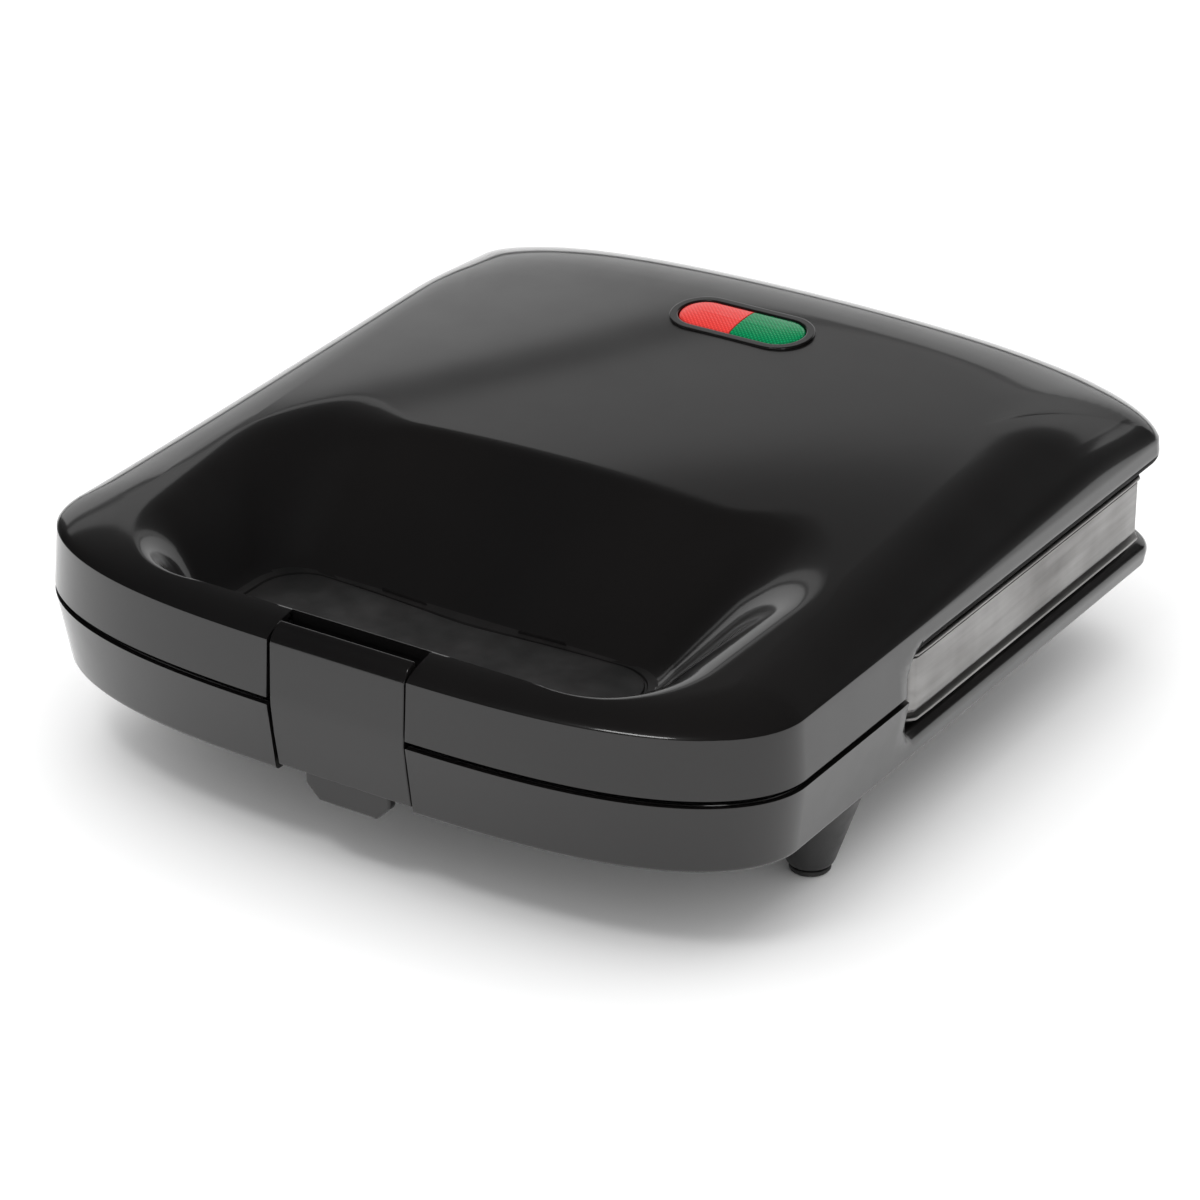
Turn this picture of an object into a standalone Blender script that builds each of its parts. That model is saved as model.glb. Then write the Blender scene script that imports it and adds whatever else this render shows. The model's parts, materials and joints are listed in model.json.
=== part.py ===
"""Donut maker with a hinged lid, a sprung front latch and six ring moulds.

Units are metres, +Z is up and the front of the appliance faces -Y.
The origin is on the table, under the middle of the body.
"""

import math

import bmesh
import bpy
from mathutils import Matrix, Vector

# Body outline, seen from above
HALF_WIDTH = 0.121
FRONT_Y = -0.131
REAR_Y = 0.131
FRONT_CORNER = 0.040
FRONT_POWER = 3.3
REAR_CORNER = 0.020
REAR_POWER = 5.0
WALL = 0.0025
GAP = 0.0003

# Heights
PARTING_Z = 0.050
BASE_BOTTOM_Z = 0.0275
BASE_FLOOR_Z = 0.0295
BASE_TOP_Z = 0.049
BASE_RIM_Z = 0.0358
LID_BOTTOM_Z = 0.0512
LID_RIM_Z = 0.058
CREASE_Z = 0.0680
CREASE_INSET = 0.0012
BASE_DRAFT = 0.0032

# Lid dome: its height rises from the handle bar to the back
DOME_FRONT_Z = 0.0722
DOME_SLOPE = 0.088
DOME_START_Y = FRONT_Y + 0.014
CROWN_FRONT = 0.0005
CROWN_REAR = 0.0090
ROLL_FRONT = 0.012
ROLL_SIDE = 0.022
ROLL_REAR = 0.040
ROLL_REACH = 0.060

# The walls step down behind this line, which leaves the side slot
STEP_Y = FRONT_Y + 0.097

# Handle recess: half length, front, back, corner radius at each height
RECESS_RINGS = (
    (0.0528, 0.066, FRONT_Y + 0.0215, FRONT_Y + 0.066, 0.011),
    (0.0545, 0.069, FRONT_Y + 0.0190, FRONT_Y + 0.070, 0.014),
    (0.0660, 0.078, FRONT_Y + 0.0155, FRONT_Y + 0.090, 0.022),
    (0.0780, 0.088, FRONT_Y + 0.0120, FRONT_Y + 0.112, 0.030),
    (0.0920, 0.102, FRONT_Y + 0.0080, FRONT_Y + 0.140, 0.040),
)
RECESS_WALL = 0.0022

# Hinge at the back, and latch pivot in the handle bar
HINGE_Y = FRONT_Y + 0.250
HINGE_Z = PARTING_Z
HINGE_PIN_R = 0.0020
HINGE_LUG_R = 0.0045
BASE_LUG_X = (0.0700, 0.0780)
LID_LUG_X = (0.0615, 0.0695)
LATCH_Y = FRONT_Y + 0.008
LATCH_Z = 0.0615
LATCH_HALF = 0.0219
LATCH_PIN_R = 0.0012
CHANNEL_HALF = 0.0226
CHANNEL_BACK_Y = FRONT_Y + 0.0130
BASE_CHANNEL_BACK_Y = FRONT_Y + 0.0085

# Baking plates
MOULD_R = 0.0175
MOULD_BORE = 0.0090
MOULD_WALL = 0.0018
BULGE_CLEARANCE = 0.0135
MOULD_PITCH_X = 0.072
MOULD_PITCH_Y = 0.061
MOULD_Y = FRONT_Y + 0.1675
LOWER_FACE_Z = 0.0497
UPPER_FACE_Z = 0.0503
LOWER_PLATE = (0.1125, FRONT_Y + 0.104, FRONT_Y + 0.231)
UPPER_PLATE = (0.1175, FRONT_Y + 0.1015, FRONT_Y + 0.238)
PLATE_WALL = 0.0015
PLATE_FACE = 0.0020
SKIRT_BOTTOM_Z = 0.0395
SKIRT_TOP_Z = 0.0574
POST_X = 0.036
POST_Y = 0.052
POST_R = 0.0040
ELEMENT_R = 0.0030
UPPER_SHIELD_Z = 0.0698
LOWER_SHIELD_Z = 0.0299
SHIELD_T = 0.0008

# Screws, feet, lamps
SCREW_R = 0.0014
SCREW_HOLE_R = 0.0016
SCREW_HEAD_R = 0.0028
SCREW_HEAD_T = 0.0015
FOOT_X = 0.101
FOOT_FRONT_Y = FRONT_Y + 0.078
REAR_FOOT_X = 0.072
FOOT_REAR_Y = FRONT_Y + 0.238
FOOT_TOP_R = 0.0148
FOOT_BOTTOM_R = 0.0066
FOOT_STUD_R = 0.0050
PAD_T = 0.0020
LAMP_Y = FRONT_Y + 0.206
LENS_HALF = 0.0208
LENS_R = 0.0079

# Facets
FRONT_STEPS = 9
SIDE_STEPS = 5
REAR_STEPS = 6
ROLL_STEPS = 5
DOME_INSETS = (0.045, 0.065, 0.085, 0.105, 0.117)


# Scene helpers

def clear_scene():
    for old in list(bpy.data.objects):
        bpy.data.objects.remove(old, do_unlink=True)


def new_collection(name, hidden=False):
    collection = bpy.data.collections.new(name)
    bpy.context.scene.collection.children.link(collection)
    collection.hide_render = hidden
    return collection


def material(name, colour, roughness, metallic=0.0):
    found = bpy.data.materials.get(name)
    if found:
        return found
    made = bpy.data.materials.new(name)
    made.use_nodes = True
    shader = made.node_tree.nodes["Principled BSDF"]
    shader.inputs["Base Color"].default_value = (*colour, 1.0)
    shader.inputs["Roughness"].default_value = roughness
    shader.inputs["Metallic"].default_value = metallic
    return made


def gloss_black():
    return material("gloss_black_plastic", (0.012, 0.011, 0.011), 0.16)


def satin_black():
    return material("satin_black_plastic", (0.02, 0.02, 0.02), 0.45)


def cast_plate():
    return material("nonstick_plate", (0.09, 0.09, 0.09), 0.4, 0.6)


def bright_steel():
    return material("zinc_steel", (0.6, 0.6, 0.6), 0.3, 1.0)


def sheet_metal():
    return material("aluminised_sheet", (0.55, 0.55, 0.56), 0.35, 1.0)


def add_object(name, mesh, finish=None, smooth=True):
    made = bpy.data.objects.new(name, mesh)
    (PARTS if finish else CUTTERS).objects.link(made)
    if finish:
        mesh.materials.clear()
        mesh.materials.append(finish)
    else:
        made.hide_render = True
        made.display_type = "WIRE"
    if smooth:
        mesh.shade_smooth()
        mesh.set_sharp_from_angle(angle=math.radians(35))
    return made


def finish_bmesh(name, bm, finish=None, smooth=True):
    bmesh.ops.recalc_face_normals(bm, faces=bm.faces)
    mesh = bpy.data.meshes.new(name)
    bm.to_mesh(mesh)
    bm.free()
    return add_object(name, mesh, finish, smooth)


def box(name, low, high, finish=None):
    bm = bmesh.new()
    bmesh.ops.create_cube(bm, size=1.0)
    size = [b - a for a, b in zip(low, high)]
    bmesh.ops.scale(bm, vec=size, verts=bm.verts)
    made = finish_bmesh(name, bm, finish, smooth=False)
    made.location = [(a + b) / 2 for a, b in zip(low, high)]
    return made


def cylinder(name, start, end, radius, finish=None, sides=12):
    start, end = Vector(start), Vector(end)
    run = end - start
    bm = bmesh.new()
    bmesh.ops.create_cone(bm, cap_ends=True, segments=sides, radius1=radius, radius2=radius,
                          depth=run.length)
    made = finish_bmesh(name, bm, finish)
    made.location = (start + end) / 2
    made.rotation_euler = run.to_track_quat("Z", "Y").to_euler()
    return made


def turned(name, profile, finish, steps=12):
    """Turn a profile of (radius, height), listed top to bottom, about +Z."""
    mesh = bpy.data.meshes.new(name)
    points = [(r, 0.0, z) for r, z in profile]
    mesh.from_pydata(points, [(i, i + 1) for i in range(len(points) - 1)], [])
    made = add_object(name, mesh, finish, smooth=False)
    screw = made.modifiers.new("turn", "SCREW")
    screw.steps = steps
    screw.render_steps = steps
    screw.use_merge_vertices = True
    screw.merge_threshold = 0.00005
    return made


def flat_shape(name, outlines, bottom, top, finish=None):
    """A flat plate from closed outlines; the later outlines are holes in the first."""
    curve = bpy.data.curves.new(name, "CURVE")
    curve.dimensions = "2D"
    curve.fill_mode = "BOTH"
    curve.extrude = (top - bottom) / 2
    for outline in outlines:
        spline = curve.splines.new("POLY")
        spline.points.add(len(outline) - 1)
        for point, (x, y) in zip(spline.points, outline):
            point.co = (x, y, 0.0, 1.0)
        spline.use_cyclic_u = True
    made = mesh_from_curve(name, curve, finish, smooth=False)
    made.location.z = (top + bottom) / 2
    return made


def mesh_from_curve(name, curve, finish, smooth=True):
    guide = bpy.data.objects.new(name + "_guide", curve)
    CUTTERS.objects.link(guide)
    bpy.context.view_layer.update()
    evaluated = guide.evaluated_get(bpy.context.evaluated_depsgraph_get())
    mesh = bpy.data.meshes.new_from_object(evaluated)
    bm = bmesh.new()
    bm.from_mesh(mesh)
    bmesh.ops.remove_doubles(bm, verts=bm.verts, dist=0.000005)
    bmesh.ops.recalc_face_normals(bm, faces=bm.faces)
    bm.to_mesh(mesh)
    bm.free()
    made = add_object(name, mesh, finish, smooth)
    made.matrix_world = guide.matrix_world
    bpy.data.objects.remove(guide)
    return made


def tube(name, points, radius, finish, resolution=2):
    curve = bpy.data.curves.new(name, "CURVE")
    curve.dimensions = "3D"
    curve.bevel_depth = radius
    curve.bevel_resolution = resolution
    curve.use_fill_caps = True
    spline = curve.splines.new("POLY")
    spline.points.add(len(points) - 1)
    for point, place in zip(spline.points, points):
        point.co = (*place, 1.0)
    return mesh_from_curve(name, curve, finish)


def loft(name, rings, finish=None):
    """Skin a stack of rings, lowest first, and close both ends."""
    bm = bmesh.new()
    rows = [[bm.verts.new(place) for place in ring] for ring in rings]
    count = len(rows[0])
    for lower, upper in zip(rows, rows[1:]):
        for i in range(count):
            j = (i + 1) % count
            bm.faces.new((lower[i], lower[j], upper[j], upper[i]))
    bm.faces.new(rows[0])
    bm.faces.new(rows[-1])
    return finish_bmesh(name, bm, finish)


def boolean(target, other, operation="DIFFERENCE"):
    cut = target.modifiers.new(other.name, "BOOLEAN")
    cut.operation = operation
    cut.solver = "EXACT"
    cut.object = other


def cut_box(target, label, low, high):
    boolean(target, box(label, low, high))


def join(target, other):
    boolean(target, other, "UNION")


def screw_hole(target, label, x, y, low, high):
    boolean(target, cylinder(label, (x, y, low), (x, y, high), SCREW_HOLE_R, sides=8))


def fillet(target, width, segments=2, angle=40):
    bevel = target.modifiers.new("edges", "BEVEL")
    bevel.width = width
    bevel.segments = segments
    bevel.angle_limit = math.radians(angle)
    bevel.limit_method = "ANGLE"


# Outlines

def body_outline(inset):
    """The body's closed outline from above, moved inwards by inset."""
    half = HALF_WIDTH - inset
    front, rear = FRONT_Y + inset, REAR_Y - inset
    front_depth = max(FRONT_CORNER - 0.5 * inset, 0.3 * half)
    rear_depth = max(REAR_CORNER - 0.3 * inset, 0.1 * half)
    points = []
    for i in range(-FRONT_STEPS, FRONT_STEPS + 1):
        turn = math.pi / 2 * i / FRONT_STEPS
        along = math.copysign(abs(math.sin(turn)) ** (2 / FRONT_POWER), turn)
        points.append((half * along, front + front_depth * (1 - math.cos(turn))))
    low, high = front + front_depth, rear - rear_depth
    sides = [low + (high - low) * i / (SIDE_STEPS + 1) for i in range(1, SIDE_STEPS + 1)]
    points += [(half, y) for y in sides]
    for i in range(REAR_STEPS, -REAR_STEPS - 1, -1):
        turn = math.pi / 2 * i / REAR_STEPS
        along = math.copysign(abs(math.sin(turn)) ** (2 / REAR_POWER), turn)
        points.append((half * along, rear - rear_depth * (1 - math.cos(turn))))
    points += [(-half, y) for y in reversed(sides)]
    return points


def rounded_outline(half, front, back, radius, steps=6):
    """A rectangle from -half to half in X and front to back in Y, with round corners."""
    centres = ((half - radius, front + radius, -90), (half - radius, back - radius, 0),
               (radius - half, back - radius, 90), (radius - half, front + radius, 180))
    points = []
    for x, y, first in centres:
        for i in range(steps + 1):
            turn = math.radians(first + 90 * i / steps)
            points.append((x + radius * math.cos(turn), y + radius * math.sin(turn)))
    return points


def circle(x, y, radius, sides=10):
    turns = [2 * math.pi * i / sides for i in range(sides)]
    return [(x + radius * math.cos(turn), y + radius * math.sin(turn)) for turn in turns]


def at_height(outline, z):
    return [(x, y, z) for x, y in outline]


def clip_behind(outline, limit, keep_front):
    """The part of a closed outline in front of the line y = limit, or behind it."""
    kept = []
    for (xa, ya), (xb, yb) in zip(outline, outline[1:] + outline[:1]):
        inside_a = (ya < limit) == keep_front
        inside_b = (yb < limit) == keep_front
        if inside_a:
            kept.append((xa, ya))
        if inside_a != inside_b:
            share = (limit - ya) / (yb - ya)
            kept.append((xa + share * (xb - xa), limit))
    return kept


# Lid form

def dome_height(x, y):
    """Height of the lid's top, before its edge rolls down to the crease."""
    share = (y - FRONT_Y) / (REAR_Y - FRONT_Y)
    crown = CROWN_FRONT + (CROWN_REAR - CROWN_FRONT) * share
    return DOME_FRONT_Z + DOME_SLOPE * (y - DOME_START_Y) - crown * (x / HALF_WIDTH) ** 2


def roll_width(y):
    """How far the rounded edge of the lid reaches inwards, at this place on the outline."""
    from_front = min(max((y - FRONT_Y) / ROLL_REACH, 0.0), 1.0)
    to_rear = min(max((y - REAR_Y + ROLL_REACH) / ROLL_REACH, 0.0), 1.0)
    front = from_front * from_front * (3 - 2 * from_front)
    rear = to_rear * to_rear * (3 - 2 * to_rear)
    return ROLL_FRONT + (ROLL_SIDE - ROLL_FRONT) * front + (ROLL_REAR - ROLL_SIDE) * rear


def lid_rings(shell, bottom):
    """Rings over the lid's outer form, or shell inside it."""
    rings = [at_height(body_outline(shell), bottom),
             at_height(body_outline(CREASE_INSET + shell), CREASE_Z - 0.3 * shell)]
    edge = rings[-1]
    for step in range(1, ROLL_STEPS + 1):
        turn = math.pi / 2 * step / ROLL_STEPS
        rings.append([roll_point(x, y, z, turn, shell) for x, y, z in edge])
    for inset in DOME_INSETS:
        rings.append([(x, y, dome_height(x, y) - shell) for x, y in body_outline(inset)])
    return rings


def roll_point(x, y, z, turn, shell):
    """A point of the rounded edge that starts at (x, y, z) on the crease, at this turn."""
    share = roll_width(y) * (1 - math.cos(turn))
    middle_y = (FRONT_Y + REAR_Y) / 2
    half = HALF_WIDTH - CREASE_INSET - shell
    depth = (REAR_Y - FRONT_Y) / 2 - CREASE_INSET - shell
    px = x * (half - share) / half
    py = middle_y + (y - middle_y) * (depth - share) / depth
    top = dome_height(px, py) - shell
    return (px, py, z + (top - z) * math.sin(turn))


def recess_rings(extra):
    rings = []
    for z, half, front, back, radius in RECESS_RINGS:
        outline = rounded_outline(half + extra, front - extra, back + extra, radius + extra)
        rings.append(at_height(outline, z - extra if z == RECESS_RINGS[0][0] else z - 0.4 * extra))
    return rings


def make_upper_cover():
    cover = loft("upper_cover", lid_rings(0.0, LID_BOTTOM_Z), gloss_black())
    inside = loft("cover_inside", lid_rings(WALL, LID_BOTTOM_Z - 0.002))
    boolean(inside, loft("recess_wall", recess_rings(RECESS_WALL)))
    boolean(cover, inside)
    block = box("latch_block", (-0.026, FRONT_Y + 0.003, LID_BOTTOM_Z + 0.0004),
                (0.026, FRONT_Y + 0.0150, 0.0672))
    join(cover, block)
    for i, (x, y) in enumerate(SHIELD_EARS):
        top = EAR_TOP_Z[0] if y < 0 else EAR_TOP_Z[1]
        join(cover, cylinder(f"cover_post_{i}", (x, y, UPPER_SHIELD_Z + SHIELD_T + GAP),
                             (x, y, top), BOSS_R, sides=10))
    for i, (x, y) in enumerate(LINER_SCREWS):
        top = LINER_POST_TOP_Z[0] if y < 0 else LINER_POST_TOP_Z[1]
        join(cover, cylinder(f"liner_post_{i}", (x, y, liner_top(y) + GAP), (x, y, top), BOSS_R,
                             sides=10))
    boolean(cover, loft("recess", recess_rings(0.0)))
    cut_box(cover, "lid_step", (-0.15, STEP_Y, 0.04), (0.15, 0.15, LID_RIM_Z))
    cut_box(cover, "latch_channel", (-CHANNEL_HALF, FRONT_Y - 0.004, 0.045),
            (CHANNEL_HALF, CHANNEL_BACK_Y, 0.085))
    boolean(cover, cylinder("latch_pin_bore", (-0.0248, LATCH_Y, LATCH_Z),
                            (0.0248, LATCH_Y, LATCH_Z), LATCH_PIN_R + 0.0001))
    boolean(cover, lamp_form("lamp_opening", LENS_HALF + 0.0018, LENS_R + 0.0018, -0.012, 0.012))
    for i, (x, y) in enumerate(SHIELD_EARS):
        screw_hole(cover, f"ear_hole_{i}", x, y, UPPER_SHIELD_Z, UPPER_SHIELD_Z + 0.0040)
    for i, (x, y) in enumerate(LINER_SCREWS):
        screw_hole(cover, f"liner_hole_{i}", x, y, liner_top(y), liner_top(y) + 0.0065)
    return cover


# Lid fittings

SHIELD_EARS = ((-0.101, FRONT_Y + 0.090), (0.101, FRONT_Y + 0.090),
               (-0.062, FRONT_Y + 0.243), (0.062, FRONT_Y + 0.243))
LINER_SCREWS = ((-0.105, FRONT_Y + 0.060), (0.105, FRONT_Y + 0.060),
                (-0.040, FRONT_Y + 0.250), (0.040, FRONT_Y + 0.250))
EAR_TOP_Z = (0.0750, 0.0850)
LINER_POST_TOP_Z = (0.0724, 0.0828)
BOSS_R = 0.0036
FRONT_LINER_Z = (0.0516, 0.0534)
HINGE_FRAME_Z = (0.0590, 0.0614)


def liner_top(y):
    return FRONT_LINER_Z[1] if y < 0 else HINGE_FRAME_Z[1]


def make_front_liner():
    """Closes the lid from below in front of the plates, around the recess floor."""
    outline = clip_behind(body_outline(WALL + 0.0016), STEP_Y - GAP, True)
    z, half, front, back, radius = RECESS_RINGS[1]
    hole = rounded_outline(half + 0.0042, front - 0.0042, back + 0.0042, radius + 0.0042)
    liner = flat_shape("lid_front_liner", [outline, hole], *FRONT_LINER_Z, satin_black())
    join(liner, box("liner_step", (-0.105, STEP_Y - 0.0023, 0.0526), (0.105, STEP_Y - GAP, 0.0640)))
    cut_box(liner, "liner_latch_gap", (-0.0270, -0.15, 0.04), (0.0270, FRONT_Y + 0.0156, 0.07))
    for i, (x, y) in enumerate(LINER_SCREWS[:2]):
        screw_hole(liner, f"front_liner_hole_{i}", x, y, 0.050, 0.056)
    return liner


def lug(name, x_range, low, high):
    """A hinge ear around the hinge axis, with its web running down or up to the frame."""
    half = HINGE_LUG_R - 0.0004
    stem = box(name, (x_range[0] + 0.0002, HINGE_Y - half, low),
               (x_range[1] - 0.0002, HINGE_Y + half, high))
    eye = cylinder(name + "_eye", (x_range[0], HINGE_Y, HINGE_Z), (x_range[1], HINGE_Y, HINGE_Z),
                   HINGE_LUG_R, sides=16)
    join(stem, eye)
    return stem


def both_sides(x_range):
    return (x_range, (-x_range[1], -x_range[0]))


def make_hinge_frame():
    """Closes the lid from below behind the plates and carries the lid's hinge lugs."""
    outline = clip_behind(body_outline(WALL + 0.0035), FRONT_Y + 0.2400, False)
    frame = flat_shape("lid_hinge_frame", [outline], *HINGE_FRAME_Z, satin_black())
    for i, x_range in enumerate(both_sides(LID_LUG_X)):
        join(frame, lug(f"lid_lug_{i}", x_range, HINGE_Z, HINGE_FRAME_Z[0] + 0.001))
    for i, x_range in enumerate(both_sides(BASE_LUG_X)):
        cut_box(frame, f"lug_clearance_{i}", (x_range[0] - 0.0004, HINGE_Y - 0.006, 0.055),
                (x_range[1] + 0.0004, HINGE_Y + 0.006, 0.0594))
    drill_hinge(frame, "lid")
    for i, (x, y) in enumerate(LINER_SCREWS[2:]):
        screw_hole(frame, f"hinge_frame_hole_{i}", x, y, 0.057, 0.063)
    return frame


def drill_hinge(target, label):
    inner, outer = LID_LUG_X[0] - 0.004, BASE_LUG_X[1] + 0.004
    for side in (-1, 1):
        bore = cylinder(f"{label}_pin_bore_{side}", (side * inner, HINGE_Y, HINGE_Z),
                        (side * outer, HINGE_Y, HINGE_Z), HINGE_PIN_R + 0.0001, sides=16)
        boolean(target, bore)


def make_hinge_pins():
    pins = []
    for name, side in (("hinge_pin_left", -1), ("hinge_pin_right", 1)):
        seat = BASE_LUG_X[1] + GAP
        pin = cylinder(name, (side * (LID_LUG_X[0] - GAP), HINGE_Y, HINGE_Z),
                       (side * seat, HINGE_Y, HINGE_Z), HINGE_PIN_R, bright_steel(), sides=16)
        head = cylinder(name + "_head", (side * (seat - 0.0001), HINGE_Y, HINGE_Z),
                        (side * (seat + 0.0012), HINGE_Y, HINGE_Z), 0.0032, sides=16)
        join(pin, head)
        pins.append(pin)
    return pins


def lamp_tilt():
    """The place of the lamp window on the dome, tilted with the slope there."""
    centre = Vector((0.0, LAMP_Y, dome_height(0.0, LAMP_Y)))
    return Matrix.Translation(centre) @ Matrix.Rotation(math.atan(DOME_SLOPE), 4, "X")


def capsule_outline(half, radius, steps=8):
    points = []
    for centre, first in ((half - radius, -90), (radius - half, 90)):
        for i in range(steps + 1):
            turn = math.radians(first + 180 * i / steps)
            points.append((centre + radius * math.cos(turn), radius * math.sin(turn)))
    return points


def lamp_form(name, half, radius, low, high, finish=None):
    made = flat_shape(name, [capsule_outline(half, radius)], low, high, finish)
    made.matrix_world = lamp_tilt() @ Matrix.Translation((0, 0, (low + high) / 2))
    return made


def make_bezel():
    bezel = lamp_form("indicator_bezel", 0.0236, 0.0107, 0.0004, 0.0016, gloss_black())
    join(bezel, lamp_form("bezel_barrel", LENS_HALF + 0.0014, LENS_R + 0.0014, -0.0060, 0.0010))
    boolean(bezel, lamp_form("bezel_window", LENS_HALF + 0.0002, LENS_R + 0.0002, -0.010, 0.010))
    return bezel


def make_lens(name, side, colour):
    """Half of the window: a flat-bottomed capsule end with a softened upper edge."""
    outline = [(x, y) for x, y in capsule_outline(LENS_HALF, LENS_R, 10) if side * x > 0.0002]
    if side > 0:
        outline = [(GAP / 2, -LENS_R)] + outline + [(GAP / 2, LENS_R)]
    else:
        outline = [(-GAP / 2, LENS_R)] + outline + [(-GAP / 2, -LENS_R)]
    finish = material(name + "_plastic", colour, 0.2)
    lens = flat_shape(name, [outline], -0.0012, 0.0012, finish)
    lens.matrix_world = lamp_tilt()
    fillet(lens, 0.0004, segments=1)
    return lens


def make_lamps():
    """Two glow lamps stand in a tray that clips to the underside of the bezel."""
    tilt = lamp_tilt()
    holder = lamp_form("lamp_holder", 0.0222, 0.0090, -0.0165, -0.0063, satin_black())
    boolean(holder, lamp_form("holder_hollow", 0.0208, 0.0076, -0.0150, -0.0060))
    made = [holder]
    for name, x, colour in (("red_lamp", -0.0105, (0.8, 0.1, 0.05)),
                            ("green_lamp", 0.0105, (0.1, 0.6, 0.2))):
        profile = [(0.0, 0.0085), (0.0014, 0.0081), (0.0024, 0.0065), (0.0024, 0.0012),
                   (0.0029, 0.0012), (0.0029, 0.0), (0.0, 0.0)]
        lamp = turned(name, profile, material(name + "_glass", colour, 0.1), steps=10)
        lamp.matrix_world = tilt @ Matrix.Translation((x, 0.0, -0.0147))
        made.append(lamp)
    return made


# Latch

def make_latch():
    """A curved panel over the parting line, hung on knuckles, with a finger tab below."""
    outer = [(0.0034, 0.0295), (0.0005, 0.0500), (0.0010, 0.0625), (0.0014, 0.0674),
             (0.0022, 0.0698), (0.0040, 0.0712), (0.0068, 0.0718)]
    inner = [(0.0068, 0.0698), (0.0054, 0.0692), (0.0044, 0.0678), (0.0039, 0.0655),
             (0.0036, 0.0620), (0.0028, 0.0500), (0.0058, 0.0295)]
    panel = extrude_across("latch", outer + inner, LATCH_HALF, gloss_black())
    for i, side in enumerate((-1, 1)):
        near, far = side * 0.0110, side * (LATCH_HALF - 0.0004)
        web = box(f"latch_web_{i}", (min(near, far), FRONT_Y + 0.0030, 0.0590),
                  (max(near, far), LATCH_Y, 0.0640))
        join(panel, web)
        join(panel, cylinder(f"latch_knuckle_{i}", (near, LATCH_Y, LATCH_Z),
                             (far, LATCH_Y, LATCH_Z), 0.0030, sides=14))
    tab = extrude_across("latch_tab", [(0.0052, 0.0214), (0.0038, 0.0345), (0.0052, 0.0370),
                                       (0.0076, 0.0345), (0.0078, 0.0214)], 0.0140)
    chamfer = box("tab_corners", (-0.0140, -0.2, 0.0180), (0.0140, 0.0, 0.0400))
    fillet(chamfer, 0.0045, segments=1)
    boolean(tab, chamfer, "INTERSECT")
    join(panel, tab)
    boolean(panel, cylinder("latch_bore", (-0.03, LATCH_Y, LATCH_Z), (0.03, LATCH_Y, LATCH_Z),
                            LATCH_PIN_R + 0.0001))
    return panel


def extrude_across(name, outline, half, finish=None):
    """Extrude an outline of (distance behind the front, height) by half to either side."""
    flat = [(FRONT_Y + y, z) for y, z in outline]
    made = flat_shape(name, [flat], -half, half, finish)
    made.matrix_world = Matrix.Rotation(math.pi / 2, 4, "Z") @ Matrix.Rotation(math.pi / 2, 4, "X")
    return made


def make_latch_pin():
    return cylinder("latch_pin", (-0.0245, LATCH_Y, LATCH_Z), (0.0245, LATCH_Y, LATCH_Z),
                    LATCH_PIN_R, bright_steel())


def make_latch_spring():
    """A torsion spring round the pin; its long leg lies in the channel behind the panel."""
    turns, wire, radius, steps = 5, 0.0004, 0.0021, 8
    points = []
    for i in range(turns * steps + 1):
        turn = 2 * math.pi * i / steps
        points.append((-0.003 + 0.006 * i / (turns * steps), LATCH_Y + radius * math.sin(turn),
                       LATCH_Z - radius * math.cos(turn)))
    points.insert(0, (-0.003, LATCH_Y - 0.0030, LATCH_Z - 0.0030))
    points.append((0.003, LATCH_Y + 0.0036, LATCH_Z - 0.0024))
    return tube("latch_spring", points, wire, bright_steel(), resolution=1)


# Plates, elements and shields

def mould_centres():
    for row in (-0.5, 0.5):
        for column in (-1, 0, 1):
            yield column * MOULD_PITCH_X, MOULD_Y + row * MOULD_PITCH_Y


def mould_rings(name, radius, z):
    """Six rings of one radius, one at each mould."""
    bpy.ops.mesh.primitive_torus_add(major_segments=16, minor_segments=8,
                                     major_radius=MOULD_R, minor_radius=radius)
    single = bpy.context.object
    bm = bmesh.new()
    for x, y in mould_centres():
        first = len(bm.verts)
        bm.from_mesh(single.data)
        bm.verts.ensure_lookup_table()
        bmesh.ops.translate(bm, vec=(x, y, z), verts=bm.verts[first:])
    bpy.data.objects.remove(single, do_unlink=True)
    return finish_bmesh(name, bm)


def plate_posts():
    return [(x, MOULD_Y + y) for x in (-POST_X, POST_X) for y in (-POST_Y, POST_Y)]


def add_moulds(plate, label, half, front, back, face_z, outward):
    """Press six moulds into a plate; all above its face goes, within half, front and back."""
    join(plate, mould_rings(label + "_bulges", MOULD_BORE + MOULD_WALL, face_z))
    low, high = sorted((face_z, face_z + outward * BULGE_CLEARANCE))
    cut_box(plate, label + "_face", (-half, front, low), (half, back, high))
    boolean(plate, mould_rings(label + "_moulds", MOULD_BORE, face_z + outward * 0.00005))


def make_lower_plate():
    half, front, back = LOWER_PLATE
    plate = box("lower_plate", (-half, front, 0.0362), (half, back, LOWER_FACE_Z), cast_plate())
    cut_box(plate, "lower_plate_hollow",
            (PLATE_WALL - half, front + PLATE_WALL, 0.030),
            (half - PLATE_WALL, back - PLATE_WALL, LOWER_FACE_Z - PLATE_FACE))
    past = 0.0085
    add_moulds(plate, "lower", half + past, front - past, back + past, LOWER_FACE_Z, 1)
    for i, (x, y) in enumerate(plate_posts()):
        join(plate, cylinder(f"lower_post_{i}", (x, y, LOWER_SHIELD_Z + SHIELD_T + GAP),
                             (x, y, LOWER_FACE_Z - 0.001), POST_R, sides=10))
        screw_hole(plate, f"lower_post_hole_{i}", x, y, 0.025, 0.0385)
    return plate


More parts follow.
